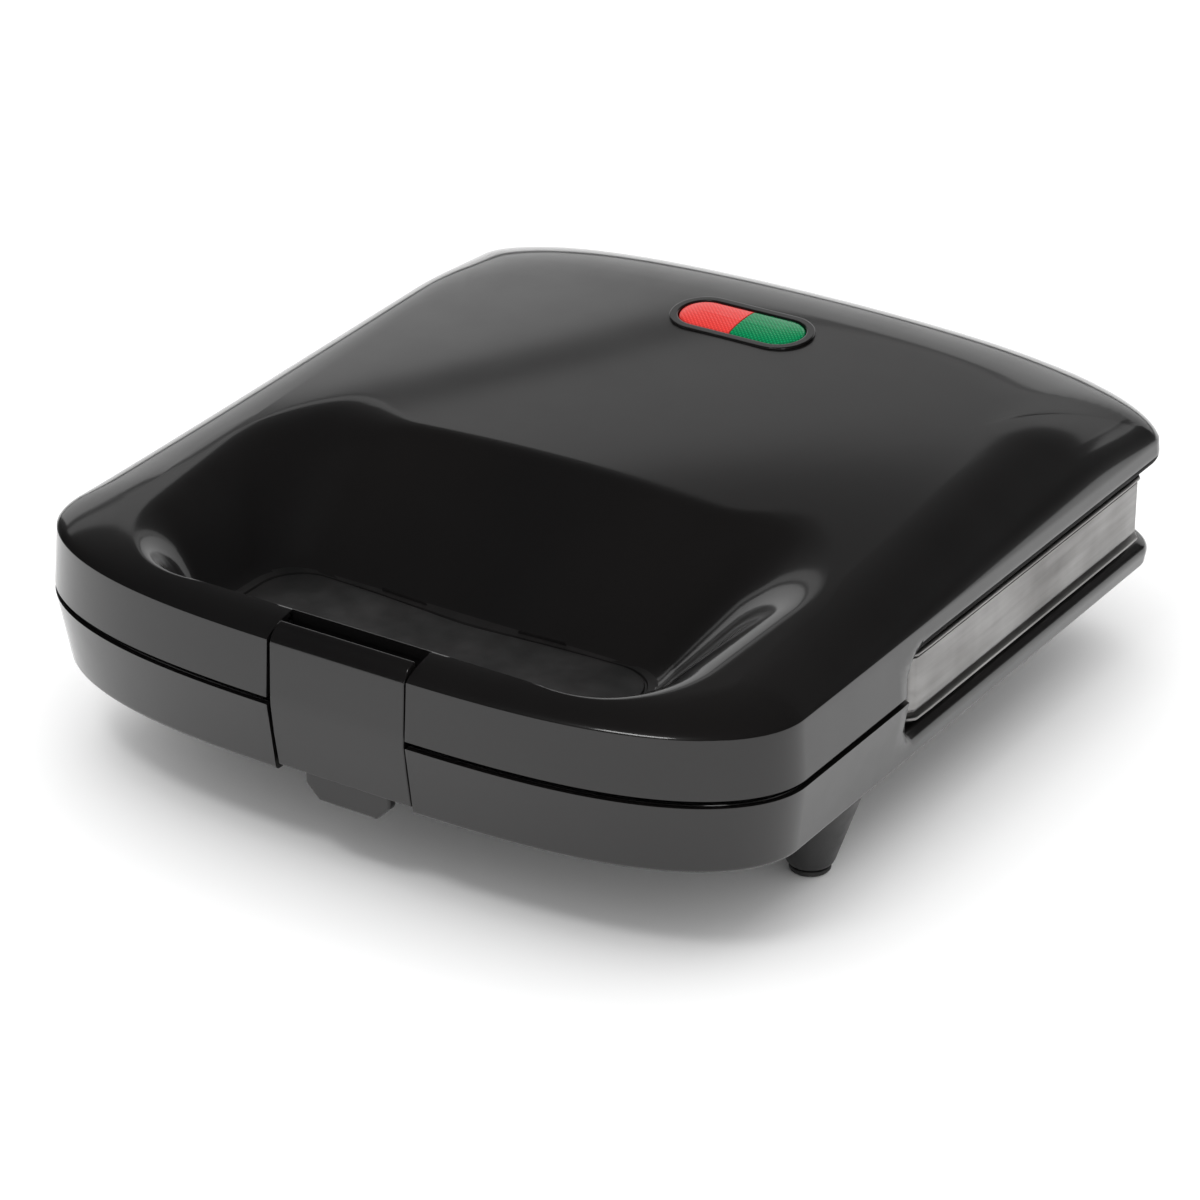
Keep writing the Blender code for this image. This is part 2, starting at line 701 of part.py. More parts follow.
def make_upper_plate():
    half, front, back = UPPER_PLATE
    plate = box("upper_plate", (-half, front, SKIRT_BOTTOM_Z - 0.0010), (half, back, SKIRT_TOP_Z),
                cast_plate())
    join(plate, box("skirt_bead", (-half - 0.0008, front - 0.0008, SKIRT_BOTTOM_Z - 0.0013),
                    (half + 0.0008, back + 0.0008, SKIRT_BOTTOM_Z)))
    cut_box(plate, "upper_plate_hollow",
            (PLATE_WALL - half, front + PLATE_WALL, UPPER_FACE_Z + PLATE_FACE),
            (half - PLATE_WALL, back - PLATE_WALL, 0.070))
    add_moulds(plate, "upper", half - PLATE_WALL, front + PLATE_WALL, back - PLATE_WALL,
               UPPER_FACE_Z, -1)
    for i, (x, y) in enumerate(plate_posts()):
        join(plate, cylinder(f"upper_post_{i}", (x, y, UPPER_FACE_Z + 0.001),
                             (x, y, UPPER_SHIELD_Z - GAP), POST_R, sides=10))
        screw_hole(plate, f"upper_post_hole_{i}", x, y, 0.0615, 0.0750)
    return plate


def element_path(z, front_y):
    """A hairpin under or over the two rows of moulds, with both ends turned to the front."""
    reach, row, bend = 0.100, MOULD_PITCH_Y / 2, 0.012
    points = [(-reach + 0.006, front_y, z)]
    corner = arc((-reach + 0.006 + bend, MOULD_Y - row - bend, z), bend, 180, 90)
    points += corner
    points += arc((reach - row, MOULD_Y, z), row, -90, 90, steps=10)
    points += [(-reach + row, MOULD_Y + row, z)]
    points += arc((-reach - 0.002 + bend, MOULD_Y + row - bend, z), bend, 90, 180)
    points += [(-reach - 0.002, front_y, z)]
    return points


def arc(centre, radius, start, end, steps=5):
    x, y, z = centre
    turns = [math.radians(start + (end - start) * i / steps) for i in range(steps + 1)]
    return [(x + radius * math.cos(turn), y + radius * math.sin(turn), z) for turn in turns]


def make_element(name, z):
    return tube(name, element_path(z, MOULD_Y - 0.056), ELEMENT_R, bright_steel())


def make_upper_shield():
    half = [(0.0955, FRONT_Y + 0.106), (0.0955, FRONT_Y + 0.084), (0.1065, FRONT_Y + 0.084),
            (0.1065, FRONT_Y + 0.232), (0.070, FRONT_Y + 0.232), (0.070, FRONT_Y + 0.249),
            (0.054, FRONT_Y + 0.249), (0.054, FRONT_Y + 0.232)]
    outline = half + [(-x, y) for x, y in reversed(half)]
    holes = [circle(x, y, SCREW_HOLE_R, 8) for x, y in list(SHIELD_EARS) + plate_posts()]
    return flat_shape("upper_heat_shield", [outline] + holes, UPPER_SHIELD_Z,
                      UPPER_SHIELD_Z + SHIELD_T, sheet_metal())


def make_lower_shield():
    outline = rounded_outline(0.106, FRONT_Y + 0.106, FRONT_Y + 0.229, 0.006, steps=3)
    holes = [circle(x, y, SCREW_HOLE_R, 8) for x, y in plate_posts()]
    return flat_shape("lower_heat_shield", [outline] + holes, LOWER_SHIELD_Z,
                      LOWER_SHIELD_Z + SHIELD_T, sheet_metal())


# Base

FRAME_SCREWS = ((-0.060, FRONT_Y + 0.040), (0.060, FRONT_Y + 0.040),
                (-0.050, FRONT_Y + 0.245), (0.050, FRONT_Y + 0.245))


def make_base_housing():
    outer = [at_height(body_outline(0.0048), BASE_BOTTOM_Z),
             at_height(body_outline(0.0036), BASE_BOTTOM_Z + 0.0004),
             at_height(body_outline(BASE_DRAFT - 0.0004), BASE_BOTTOM_Z + 0.0018),
             at_height(body_outline(0.0), BASE_TOP_Z)]
    inner = [at_height(body_outline(BASE_DRAFT + WALL - 0.0002), BASE_FLOOR_Z),
             at_height(body_outline(WALL - 0.0002), BASE_TOP_Z + 0.001)]
    housing = loft("base_housing", outer, gloss_black())
    boolean(housing, loft("housing_inside", inner))
    block = box("channel_block", (-0.0255, FRONT_Y + 0.0030, BASE_BOTTOM_Z + 0.0003),
                (0.0255, BASE_CHANNEL_BACK_Y + 0.0022, BASE_TOP_Z - 0.0026))
    join(housing, block)
    cut_box(housing, "base_channel", (-CHANNEL_HALF, FRONT_Y - 0.01, 0.020),
            (CHANNEL_HALF, BASE_CHANNEL_BACK_Y, 0.060))
    cut_box(housing, "base_step", (-0.15, STEP_Y, BASE_RIM_Z), (0.15, 0.15, 0.060))
    for i, (x, y) in enumerate(FEET.values()):
        boolean(housing, cylinder(f"foot_hole_{i}", (x, y, 0.025), (x, y, 0.032),
                                  FOOT_STUD_R + GAP))
    for i, (x, y) in enumerate(list(FRAME_SCREWS) + plate_posts()):
        screw_hole(housing, f"floor_hole_{i}", x, y, 0.025, 0.032)
    boolean(housing, inlet_form("inlet_opening", 0.0058, 0.0029, -0.010, 0.010))
    return housing


def inlet_form(name, half, radius, low, high, finish=None, steps=6):
    """A capsule shape through the rear wall, from low to high along Y."""
    made = flat_shape(name, [capsule_outline(half, radius, steps)], low, high, finish)
    place = Matrix.Translation((0.0, REAR_Y - 0.0035 + (low + high) / 2, 0.0319))
    made.matrix_world = place @ Matrix.Rotation(-math.pi / 2, 4, "X")
    return made


def make_cord_inlet():
    bush = inlet_form("cord_inlet_bush", 0.0056, 0.0027, -0.0015, 0.0033,
                      material("soft_rubber", (0.015, 0.015, 0.015), 0.7))
    join(bush, inlet_form("inlet_collar", 0.0072, 0.0035, 0.0018, 0.0030, steps=5))
    boolean(bush, inlet_form("inlet_bore", 0.0034, 0.0019, -0.02, 0.02))
    return bush


def make_base_frame():
    """The inner frame: a deck in front, a ring round the lower plate and the hinge lugs."""
    deck_outline = clip_behind(body_outline(WALL + 0.0006), STEP_Y - GAP, True)
    frame = flat_shape("base_frame", [deck_outline], 0.0467, 0.0487, satin_black())
    ring_outline = clip_behind(body_outline(WALL + BASE_DRAFT - 0.0002), STEP_Y - 0.0023, False)
    half, front, back = (LOWER_PLATE[0] + 0.0005, LOWER_PLATE[1] - 0.0005, LOWER_PLATE[2] + 0.0005)
    opening = rounded_outline(half, front, back, 0.0008, steps=1)
    join(frame, box("frame_step", (-0.1140, STEP_Y - 0.0023, 0.0333),
                    (0.1140, STEP_Y - GAP, 0.0477)))
    join(frame, flat_shape("frame_ring", [ring_outline, opening], 0.0333, 0.0353))
    cut_box(frame, "frame_latch_gap", (-0.0260, -0.15, 0.04),
            (0.0260, BASE_CHANNEL_BACK_Y + 0.0026, 0.06))
    for i, x_range in enumerate(both_sides(BASE_LUG_X)):
        join(frame, lug(f"base_lug_{i}", x_range, 0.0343, HINGE_Z))
    drill_hinge(frame, "base")
    for i, (x, y) in enumerate(FRAME_SCREWS):
        top = 0.0477 if y < 0 else 0.0343
        join(frame, cylinder(f"frame_boss_{i}", (x, y, BASE_FLOOR_Z + GAP), (x, y, top), BOSS_R,
                             sides=10))
        screw_hole(frame, f"frame_hole_{i}", x, y, 0.025, 0.0345)
    return frame


# Electrical parts on the floor of the base
THERMOSTAT_Y = FRONT_Y + 0.0900
TERMINAL_Y = FRONT_Y + 0.055
TERMINAL_PITCH = 0.011
FUSE_Y = FRONT_Y + 0.080
FUSE_Z = 0.0345

FEET = {"front_left_foot": (-FOOT_X, FOOT_FRONT_Y), "front_right_foot": (FOOT_X, FOOT_FRONT_Y),
        "rear_left_foot": (-REAR_FOOT_X, FOOT_REAR_Y), "rear_right_foot": (REAR_FOOT_X, FOOT_REAR_Y)}


def make_feet():
    """Cone feet pushed into the floor, each on a soft pad."""
    made = []
    for name, (x, y) in FEET.items():
        profile = [(0.0, 0.0305), (FOOT_STUD_R, 0.0305), (FOOT_STUD_R, BASE_BOTTOM_Z - GAP),
                   (FOOT_TOP_R, BASE_BOTTOM_Z - GAP), (FOOT_BOTTOM_R, PAD_T + 0.0008),
                   (FOOT_BOTTOM_R - 0.0008, PAD_T), (0.0, PAD_T)]
        foot = turned(name, profile, satin_black(), steps=20)
        foot.location = (x, y, 0.0)
        pad_profile = [(0.0, PAD_T - GAP), (FOOT_BOTTOM_R - 0.0008, PAD_T - GAP),
                       (FOOT_BOTTOM_R - 0.0008, 0.0004), (FOOT_BOTTOM_R - 0.0012, 0.0), (0.0, 0.0)]
        pad = turned(name + "_pad", pad_profile,
                     material("soft_rubber", (0.015, 0.015, 0.015), 0.7), steps=16)
        pad.location = (x, y, 0.0)
        made += [foot, pad]
    return made


def make_thermostat():
    """A disc thermostat clipped into a bracket behind the front of the lower plate."""
    y = THERMOSTAT_Y
    body = turned("thermostat", [(0.0, 0.0062), (0.0078, 0.0062), (0.0078, 0.0012), (0.0084, 0.0012),
                                 (0.0084, 0.0), (0.0050, -0.0006), (0.0, -0.0006)],
                  material("phenolic_brown", (0.05, 0.03, 0.02), 0.5), steps=18)
    body.location = (0.0, y - 0.0073, 0.0378)
    body.rotation_euler = (math.pi / 2, 0.0, 0.0)
    for i, x in enumerate((-0.0045, 0.0045)):
        join(body, box(f"thermostat_blade_{i}", (x - 0.0018, y - 0.0215, 0.0374),
                       (x + 0.0018, y - 0.0130, 0.0382)))
    bracket = box("thermostat_bracket", (-0.0150, y - 0.0060, 0.0298), (0.0150, y - 0.0052, 0.0462),
                  sheet_metal())
    join(bracket, box("bracket_foot", (-0.0150, y - 0.0055, 0.0298), (0.0150, y + 0.0018, 0.0306)))
    return [body, bracket]


def make_terminal_block():
    """Three screw terminals in one block, on the floor of the base in front."""
    y = TERMINAL_Y
    block = box("terminal_block", (0.018, y - 0.008, 0.0298), (0.051, y + 0.008, 0.0430),
                material("terminal_nylon", (0.75, 0.74, 0.68), 0.5))
    for i in range(3):
        x = 0.0235 + TERMINAL_PITCH * i
        boolean(block, cylinder(f"terminal_bore_{i}", (x, y - 0.02, 0.0345), (x, y + 0.02, 0.0345),
                                0.0018, sides=10))
    cut_box(block, "terminal_gap_0", (0.0284, y - 0.009, 0.0385), (0.0296, y + 0.009, 0.05))
    cut_box(block, "terminal_gap_1", (0.0394, y - 0.009, 0.0385), (0.0406, y + 0.009, 0.05))
    return block


def make_thermal_fuse():
    fuse = cylinder("thermal_fuse", (-0.050, FUSE_Y, FUSE_Z), (-0.038, FUSE_Y, FUSE_Z), 0.0021,
                    bright_steel(), sides=12)
    for i, (start, end) in enumerate(((-0.062, -0.0495), (-0.0385, -0.026))):
        join(fuse, cylinder(f"fuse_lead_{i}", (start, FUSE_Y, FUSE_Z), (end, FUSE_Y, FUSE_Z),
                            0.0006, sides=8))
    return fuse


# Fasteners

def make_screw(name, x, y, seat_z, length, heads_up):
    """A pan-head screw whose head sits on the plane z = seat_z."""
    profile = [(0.0, SCREW_HEAD_T), (SCREW_HEAD_R - 0.0006, SCREW_HEAD_T),
               (SCREW_HEAD_R, SCREW_HEAD_T - 0.0005), (SCREW_HEAD_R, 0.0001), (SCREW_R, 0.0001),
               (SCREW_R, -length), (0.0, -length)]
    made = turned(name, profile, bright_steel(), steps=7)
    made.location = (x, y, seat_z)
    if not heads_up:
        made.rotation_euler = (math.pi, 0.0, 0.0)
    return made


def make_lid_screws():
    made = []
    for i, (x, y) in enumerate(plate_posts(), 1):
        made.append(make_screw(f"upper_plate_screw_{i}", x, y, UPPER_SHIELD_Z + SHIELD_T + GAP,
                               0.007, True))
    for i, (x, y) in enumerate(SHIELD_EARS, 1):
        made.append(make_screw(f"shield_screw_{i}", x, y, UPPER_SHIELD_Z - GAP, 0.0038, False))
    for i, (x, y) in enumerate(LINER_SCREWS, 1):
        seat = (FRONT_LINER_Z if y < 0 else HINGE_FRAME_Z)[0] - GAP
        made.append(make_screw(f"liner_screw_{i}", x, y, seat, 0.007, False))
    return made


def make_base_screws():
    made = []
    for i, (x, y) in enumerate(plate_posts(), 1):
        made.append(make_screw(f"lower_plate_screw_{i}", x, y, BASE_BOTTOM_Z - GAP, 0.009, False))
    for i, (x, y) in enumerate(FRAME_SCREWS, 1):
        made.append(make_screw(f"frame_screw_{i}", x, y, BASE_BOTTOM_Z - GAP, 0.006, False))
    return made


# Assembly

def joint_empty(name, place, parent=None):
    empty = bpy.data.objects.new(name, None)
    PARTS.objects.link(empty)
    empty.location = place
    if parent:
        bpy.context.view_layer.update()
        empty.parent = parent
        empty.matrix_parent_inverse = parent.matrix_world.inverted()
    return empty


def hang(pieces, empty):
    """Parent pieces to a joint's empty and leave them where they are."""
    bpy.context.view_layer.update()
    for piece in pieces:
        piece.parent = empty
        piece.matrix_parent_inverse = empty.matrix_world.inverted()


def build():
    lid_axis = joint_empty("lid_axis", (0.0, HINGE_Y, HINGE_Z))
    latch_axis = joint_empty("latch_axis", (0.0, LATCH_Y, LATCH_Z), lid_axis)
    lid = [make_upper_cover(), make_front_liner(), make_hinge_frame(), make_bezel(),
           make_lens("red_lens", -1, (0.75, 0.04, 0.03)),
           make_lens("green_lens", 1, (0.0, 0.25, 0.09)), make_latch_pin(), make_latch_spring(),
           make_upper_plate(), make_element("upper_heating_element", 0.0645), make_upper_shield()]
    lid += make_lamps() + make_lid_screws()
    latch = [make_latch()]
    make_base_housing()
    make_base_frame()
    make_lower_plate()
    make_element("lower_heating_element", 0.0353)
    make_lower_shield()
    make_hinge_pins()
    make_feet()
    make_cord_inlet()
    make_thermostat()
    make_terminal_block()
    make_thermal_fuse()
    make_base_screws()
    hang(lid, lid_axis)
    hang(latch, latch_axis)


clear_scene()
PARTS = new_collection("donut_maker")
CUTTERS = new_collection("cutters", hidden=True)
build()
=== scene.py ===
import json
import math

import bmesh
import bpy
import numpy as np
from mathutils import Matrix, Vector


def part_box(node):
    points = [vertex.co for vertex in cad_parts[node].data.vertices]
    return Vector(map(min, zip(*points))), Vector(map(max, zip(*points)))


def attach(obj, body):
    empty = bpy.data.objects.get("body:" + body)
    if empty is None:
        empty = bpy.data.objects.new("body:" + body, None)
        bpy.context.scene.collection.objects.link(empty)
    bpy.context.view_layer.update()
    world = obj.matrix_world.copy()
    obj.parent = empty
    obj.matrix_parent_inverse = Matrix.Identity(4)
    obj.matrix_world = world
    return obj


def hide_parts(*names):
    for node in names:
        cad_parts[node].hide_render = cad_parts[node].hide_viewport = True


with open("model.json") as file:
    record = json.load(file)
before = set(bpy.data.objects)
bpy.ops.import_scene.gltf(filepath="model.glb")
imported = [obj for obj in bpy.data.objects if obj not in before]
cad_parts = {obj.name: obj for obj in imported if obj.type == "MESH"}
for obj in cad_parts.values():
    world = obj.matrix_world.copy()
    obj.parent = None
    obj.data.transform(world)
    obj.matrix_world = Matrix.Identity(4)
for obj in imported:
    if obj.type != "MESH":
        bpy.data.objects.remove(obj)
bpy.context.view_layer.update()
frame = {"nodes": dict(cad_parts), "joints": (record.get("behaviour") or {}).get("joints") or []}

# Sizes and places, read from the frame where it has them

COVER_LOW, COVER_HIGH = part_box("upper_cover")
HOUSING_LOW, HOUSING_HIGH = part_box("base_housing")
LATCH_LOW, LATCH_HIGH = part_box("latch")
UPPER_LOW, UPPER_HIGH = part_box("upper_plate")
LOWER_LOW, LOWER_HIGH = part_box("lower_plate")
LATCH_PIVOT = next(Vector(joint["pos_m"]) for joint in frame["joints"] if joint["name"] == "latch_pivot")

# Body outline from above, as the CAD shells have it
HALF_WIDTH = COVER_HIGH.x
FRONT_Y = COVER_LOW.y
REAR_Y = -FRONT_Y
FRONT_CORNER = 0.040
FRONT_POWER = 3.3
REAR_CORNER = 0.020
REAR_POWER = 5.0

# Heights of the lid and the base
LID_BOTTOM_Z = COVER_LOW.z
LID_RIM_Z = 0.0595
CREASE_Z = 0.0680
CREASE_INSET = 0.0012
BASE_TOP_Z = HOUSING_HIGH.z
BASE_BOTTOM_Z = HOUSING_LOW.z
BASE_RIM_Z = 0.0358
BASE_DRAFT = 0.0032
STEP_Y = FRONT_Y + 0.097
LID_CUT_ROLL, LID_CUT_CORNER = 0.0050, 0.0050
BASE_CUT_ROLL, BASE_CUT_CORNER = 0.0040, 0.0035
CUT_CREEP = 0.014
SHEET = 0.0017
RING_SPACING, RING_BEND_DEG = 0.0030, 3.0

# Lid dome and its rolled edge
DOME_FRONT_Z = 0.0722
DOME_SLOPE = 0.088
DOME_START_Y = FRONT_Y + 0.014
DOME_BOW = 0.0016
CROWN_FRONT = 0.0005
CROWN_REAR = 0.0090
ROLL_FRONT = 0.012
ROLL_SIDE = 0.022
ROLL_REAR = 0.040
ROLL_REACH = 0.060
ROLL_START = math.radians(10)

# Handle recess: a rounded rectangle. A pair is its value at the floor and its growth with height
RECESS_FLOOR_Z = 0.0528
RECESS_MIDDLE = np.array((0.0, FRONT_Y + 0.044))
RECESS_HALF = (0.0658, 0.923)
RECESS_FRONT = (FRONT_Y + 0.0193, -0.288)
RECESS_BACK = (FRONT_Y + 0.0650, 1.55)
RECESS_RADIUS = (0.0129, 0.692)
RIM_SOFT = 0.0016
RIM_SOFT_ENDS = 0.0090
FLOOR_SOFT = 0.0030
FLOOR_LINE = 0.0034
FLOOR_LINE_DEPTH = 0.0005

# Latch, channel and lamp window
CHANNEL_HALF = 0.0226
CHANNEL_BACK_Y = FRONT_Y + 0.0130
BASE_CHANNEL_BACK_Y = FRONT_Y + 0.0085
LATCH_HALF = LATCH_HIGH.x
LAMP_Y = FRONT_Y + 0.206
LENS_HALF = 0.0208
LENS_R = 0.0079

# Ring moulds
MOULD_R = 0.0175
MOULD_BORE = 0.0090
MOULD_LIP = 0.0009
MOULD_PITCH = (0.072, 0.061)
MOULD_Y = FRONT_Y + 0.1675
TILE_REACH = 0.0279
TILE_SEGMENTS = 64
PLATE_SHEET = 0.0012
UPPER_FACE_Z = 0.0503
LOWER_FACE_Z = LOWER_HIGH.z


# Materials: every one is a small node tree on object coordinates

class Finish:
    """A Principled material under construction, with shorthand for its nodes."""

    def __init__(self, name, colour, roughness, metallic=0.0):
        self.material = bpy.data.materials.new(name)
        self.material.use_nodes = True
        self.tree = self.material.node_tree
        self.shader = self.tree.nodes["Principled BSDF"]
        self.shader.inputs["Base Color"].default_value = (*colour, 1.0)
        self.shader.inputs["Roughness"].default_value = roughness
        self.shader.inputs["Metallic"].default_value = metallic
        self.place = self.tree.nodes.new("ShaderNodeTexCoord").outputs["Object"]

    def node(self, kind, **inputs):
        made = self.tree.nodes.new(kind)
        for key, value in inputs.items():
            self.feed(made.inputs[key.replace("_", " ")], value)
        return made

    def feed(self, socket, value):
        if isinstance(value, bpy.types.NodeSocket):
            self.tree.links.new(value, socket)
        else:
            socket.default_value = value

    def stretched(self, x, y, z):
        made = self.node("ShaderNodeMapping", Vector=self.place)
        made.inputs["Scale"].default_value = (x, y, z)
        return made.outputs["Vector"]

    def noise(self, scale, detail=3.0, where=None):
        return self.node("ShaderNodeTexNoise", Vector=where or self.place, Scale=scale,
                         Detail=detail).outputs["Fac"]

    def cells(self, scale, where=None):
        made = self.node("ShaderNodeTexVoronoi", Vector=where or self.place, Scale=scale)
        return made.outputs["Distance"]

    def between(self, factor, low, high, start=0.3, end=0.7):
        """Remap a 0 to 1 texture to the range from low to high."""
        made = self.node("ShaderNodeMapRange", Value=factor)
        for socket, value in zip(("From Min", "From Max", "To Min", "To Max"),
                                 (start, end, low, high)):
            made.inputs[socket].default_value = value
        return made.outputs["Result"]

    def blend(self, factor, first, second):
        made = self.node("ShaderNodeMix")
        made.data_type = "RGBA"
        self.feed(made.inputs["Factor"], factor)
        self.feed(made.inputs[6], (*first, 1.0) if isinstance(first, tuple) else first)
        self.feed(made.inputs[7], (*second, 1.0) if isinstance(second, tuple) else second)
        return made.outputs[2]

    def paint(self, colour=None, roughness=None, bump=None, height=0.00002, strength=0.4):
        if colour is not None:
            self.feed(self.shader.inputs["Base Color"], colour)
        if roughness is not None:
            self.feed(self.shader.inputs["Roughness"], roughness)
        if bump is not None:
            made = self.node("ShaderNodeBump", Height=bump)
            made.inputs["Distance"].default_value = height
            made.inputs["Strength"].default_value = strength
            self.feed(self.shader.inputs["Normal"], made.outputs["Normal"])
        return self.material


def gloss_black():
    """Injection-moulded gloss black: faint flow marks and a slight orange peel."""
    made = Finish("gloss_black_plastic", (0.006, 0.006, 0.006), 0.3)
    flow = made.noise(9.0, 2.0, made.stretched(1.0, 0.35, 1.0))
    colour = made.blend(made.between(flow, 0.0, 1.0), (0.0050, 0.0048, 0.0050), (0.0078, 0.0070, 0.0068))
    rough = made.between(made.noise(55.0, 4.0), 0.30, 0.38)
    made.shader.inputs["Specular IOR Level"].default_value = 0.16
    made.shader.inputs["Coat Weight"].default_value = 0.8
    made.shader.inputs["Coat Roughness"].default_value = 0.09
    return made.paint(colour, rough, made.noise(420.0, 1.0), 0.000012, 0.06)


def satin_black(name="satin_black_plastic", grain=2600.0):
    made = Finish(name, (0.02, 0.02, 0.02), 0.42)
    cloud = made.between(made.noise(70.0), 0.0, 1.0)
    colour = made.blend(cloud, (0.016, 0.016, 0.016), (0.027, 0.026, 0.026))
    rough = made.between(made.noise(160.0, 4.0), 0.34, 0.50)
    return made.paint(colour, rough, made.cells(grain), 0.00003, 0.35)


def dull_black(name, gloss):
    """Black plastic with a fine grain; gloss is its specular level."""
    made = Finish(name, (0.008, 0.008, 0.008), 0.4)
    made.shader.inputs["Specular IOR Level"].default_value = gloss
    cloud = made.between(made.noise(60.0), 0.0, 1.0)
    colour = made.blend(cloud, (0.006, 0.006, 0.006), (0.011, 0.010, 0.010))
    return made.paint(colour, made.between(made.noise(140.0), 0.34, 0.46), made.noise(2400.0), 0.00002, 0.2)


def rubber():
    made = Finish("soft_rubber", (0.018, 0.018, 0.018), 0.75)
    cloud = made.between(made.noise(240.0, 5.0), 0.0, 1.0)
    colour = made.blend(cloud, (0.014, 0.014, 0.014), (0.032, 0.031, 0.030))
    rough = made.between(made.noise(300.0), 0.62, 0.85)
    return made.paint(colour, rough, made.noise(2200.0, 4.0), 0.00004, 0.5)


def metal(name, low, high, rough, grain=None, scale=240.0, height=0.00002):
    """Bare metal whose grain runs along one axis."""
    made = Finish(name, high, rough[0], 1.0)
    where = made.stretched(*grain) if grain else made.place
    streak = made.noise(scale, 6.0, where)
    cloud = made.noise(38.0, 3.0)
    colour = made.blend(made.between(cloud, 0.0, 1.0), low, high)
    return made.paint(colour, made.between(streak, *rough), streak, height, 0.35)


def cast_skirt():
    """The plates' bare aluminium skirt: drawn lengthways and slightly dull."""
    return metal("drawn_aluminium", (0.20, 0.195, 0.19), (0.33, 0.325, 0.32), (0.34, 0.52),
                 (1.0, 0.05, 1.0), 520.0, 0.00003)


def nonstick():
    """Dark coating with fine lighter flecks over cast aluminium."""
    made = Finish("nonstick_coating", (0.03, 0.03, 0.031), 0.42)
    fleck = made.between(made.cells(900.0), 1.0, 0.0, 0.05, 0.22)
    shade = made.between(made.noise(45.0, 3.0), 0.0, 1.0)
    base = made.blend(shade, (0.022, 0.022, 0.023), (0.034, 0.034, 0.035))
    colour = made.blend(made.between(fleck, 0.0, 0.35, 0.0, 1.0), base, (0.22, 0.22, 0.22))
    return made.paint(colour, made.between(made.noise(350.0, 4.0), 0.30, 0.46),
                      made.noise(1400.0, 4.0), 0.00004, 0.4)


def lens_plastic(name, deep, bright, painted_glow):
    """Tinted clear plastic over a sheet of small dots."""
    made = Finish(name, bright, 0.16)
    turned = made.node("ShaderNodeMapping", Vector=made.place)
    turned.inputs["Rotation"].default_value = (0.0, 0.0, math.radians(45))
    waves = []
    for axis in ("X", "Y"):
        wave = made.node("ShaderNodeTexWave", Vector=turned.outputs["Vector"], Scale=330.0)
        wave.bands_direction = axis
        waves.append(wave.outputs["Fac"])
    dots = made.node("ShaderNodeMath")
    dots.operation = "MULTIPLY"
    made.feed(dots.inputs[0], waves[0])
    made.feed(dots.inputs[1], waves[1])
    dot = dots.outputs["Value"]
    colour = made.blend(made.between(dot, 0.0, 1.0, 0.1, 0.7), deep, bright)
    shader = made.shader
    shader.inputs["Specular IOR Level"].default_value = 0.22
    # Painted glow: the lens gives off a little light in its own dotted colour, though it is no lamp.
    shader.inputs["Emission Strength"].default_value = painted_glow
    made.feed(shader.inputs["Emission Color"], colour)
    return made.paint(colour, made.between(made.noise(160.0), 0.12, 0.22), dot, 0.0001, 0.5)


def phenolic():
    made = Finish("phenolic_moulding", (0.05, 0.03, 0.02), 0.5)
    fleck = made.between(made.cells(700.0), 0.0, 1.0, 0.1, 0.5)
    colour = made.blend(fleck, (0.075, 0.042, 0.028), (0.040, 0.023, 0.016))
    return made.paint(colour, made.between(made.noise(200.0), 0.4, 0.6), made.noise(900.0), 0.00003)


def nylon():
    made = Finish("terminal_nylon", (0.75, 0.74, 0.68), 0.45)
    colour = made.blend(made.between(made.noise(90.0), 0.0, 1.0), (0.70, 0.69, 0.62), (0.80, 0.79, 0.74))
    made.shader.inputs["Subsurface Weight"].default_value = 0.1
    return made.paint(colour, made.between(made.noise(200.0), 0.36, 0.52), made.noise(1200.0), 0.00002)


def lamp_glass(name, tint):
    made = Finish(name, tint, 0.05)
    made.shader.inputs["Transmission Weight"].default_value = 0.7
    colour = made.blend(made.between(made.noise(300.0), 0.0, 1.0), tint, tuple(0.8 * c for c in tint))
    return made.paint(colour, made.between(made.noise(120.0), 0.04, 0.12))


GLOSS = gloss_black()
PANEL = dull_black("recess_floor_plastic", 0.30)
# Painted shade: a black that barely reflects, for the lid's curled cut-out edges where shadow falls.
SHADE_EDGE = dull_black("painted_shade_edge_plastic", 0.01)
SATIN = satin_black()
FOOT_BLACK = satin_black("foot_black_plastic", 1900.0)
RUBBER = rubber()
SKIRT = cast_skirt()
COATING = nonstick()
ZINC = metal("zinc_plated_steel", (0.48, 0.47, 0.44), (0.66, 0.65, 0.62), (0.22, 0.36))
TINPLATE = metal("aluminised_sheet", (0.50, 0.50, 0.51), (0.66, 0.66, 0.67), (0.28, 0.42), (0.1, 1.0, 1.0))
SHEATH = metal("heater_sheath", (0.24, 0.21, 0.19), (0.42, 0.39, 0.35), (0.35, 0.5))
# The last number for each lens is its painted glow.
RED = lens_plastic("red_lens_plastic", (0.50, 0.034, 0.030), (0.70, 0.058, 0.050), 0.05)
GREEN = lens_plastic("green_lens_plastic", (0.002, 0.130, 0.046), (0.004, 0.235, 0.085), 0.05)
PHENOLIC = phenolic()
NYLON = nylon()
RED_GLASS = lamp_glass("red_lamp_glass", (0.85, 0.25, 0.16))
GREEN_GLASS = lamp_glass("green_lamp_glass", (0.3, 0.75, 0.4))


# Mesh helpers

def mesh_object(name, bm, *materials, outward=None):
    """Make an object; outward is a direction that the face nearest to it must look along."""
    bmesh.ops.remove_doubles(bm, verts=bm.verts, dist=0.000002)
    bmesh.ops.recalc_face_normals(bm, faces=bm.faces)
    if outward is not None:
        way = Vector(outward)
        far = max(bm.faces, key=lambda face: face.calc_center_median().dot(way))
        if far.normal.dot(way) < 0:
            bmesh.ops.reverse_faces(bm, faces=bm.faces)
    mesh = bpy.data.meshes.new(name)
    bm.to_mesh(mesh)
    bm.free()
    mesh.shade_smooth()
    for material in materials:
        mesh.materials.append(material)
    made = bpy.data.objects.new(name, mesh)
    bpy.context.scene.collection.objects.link(made)
    return made


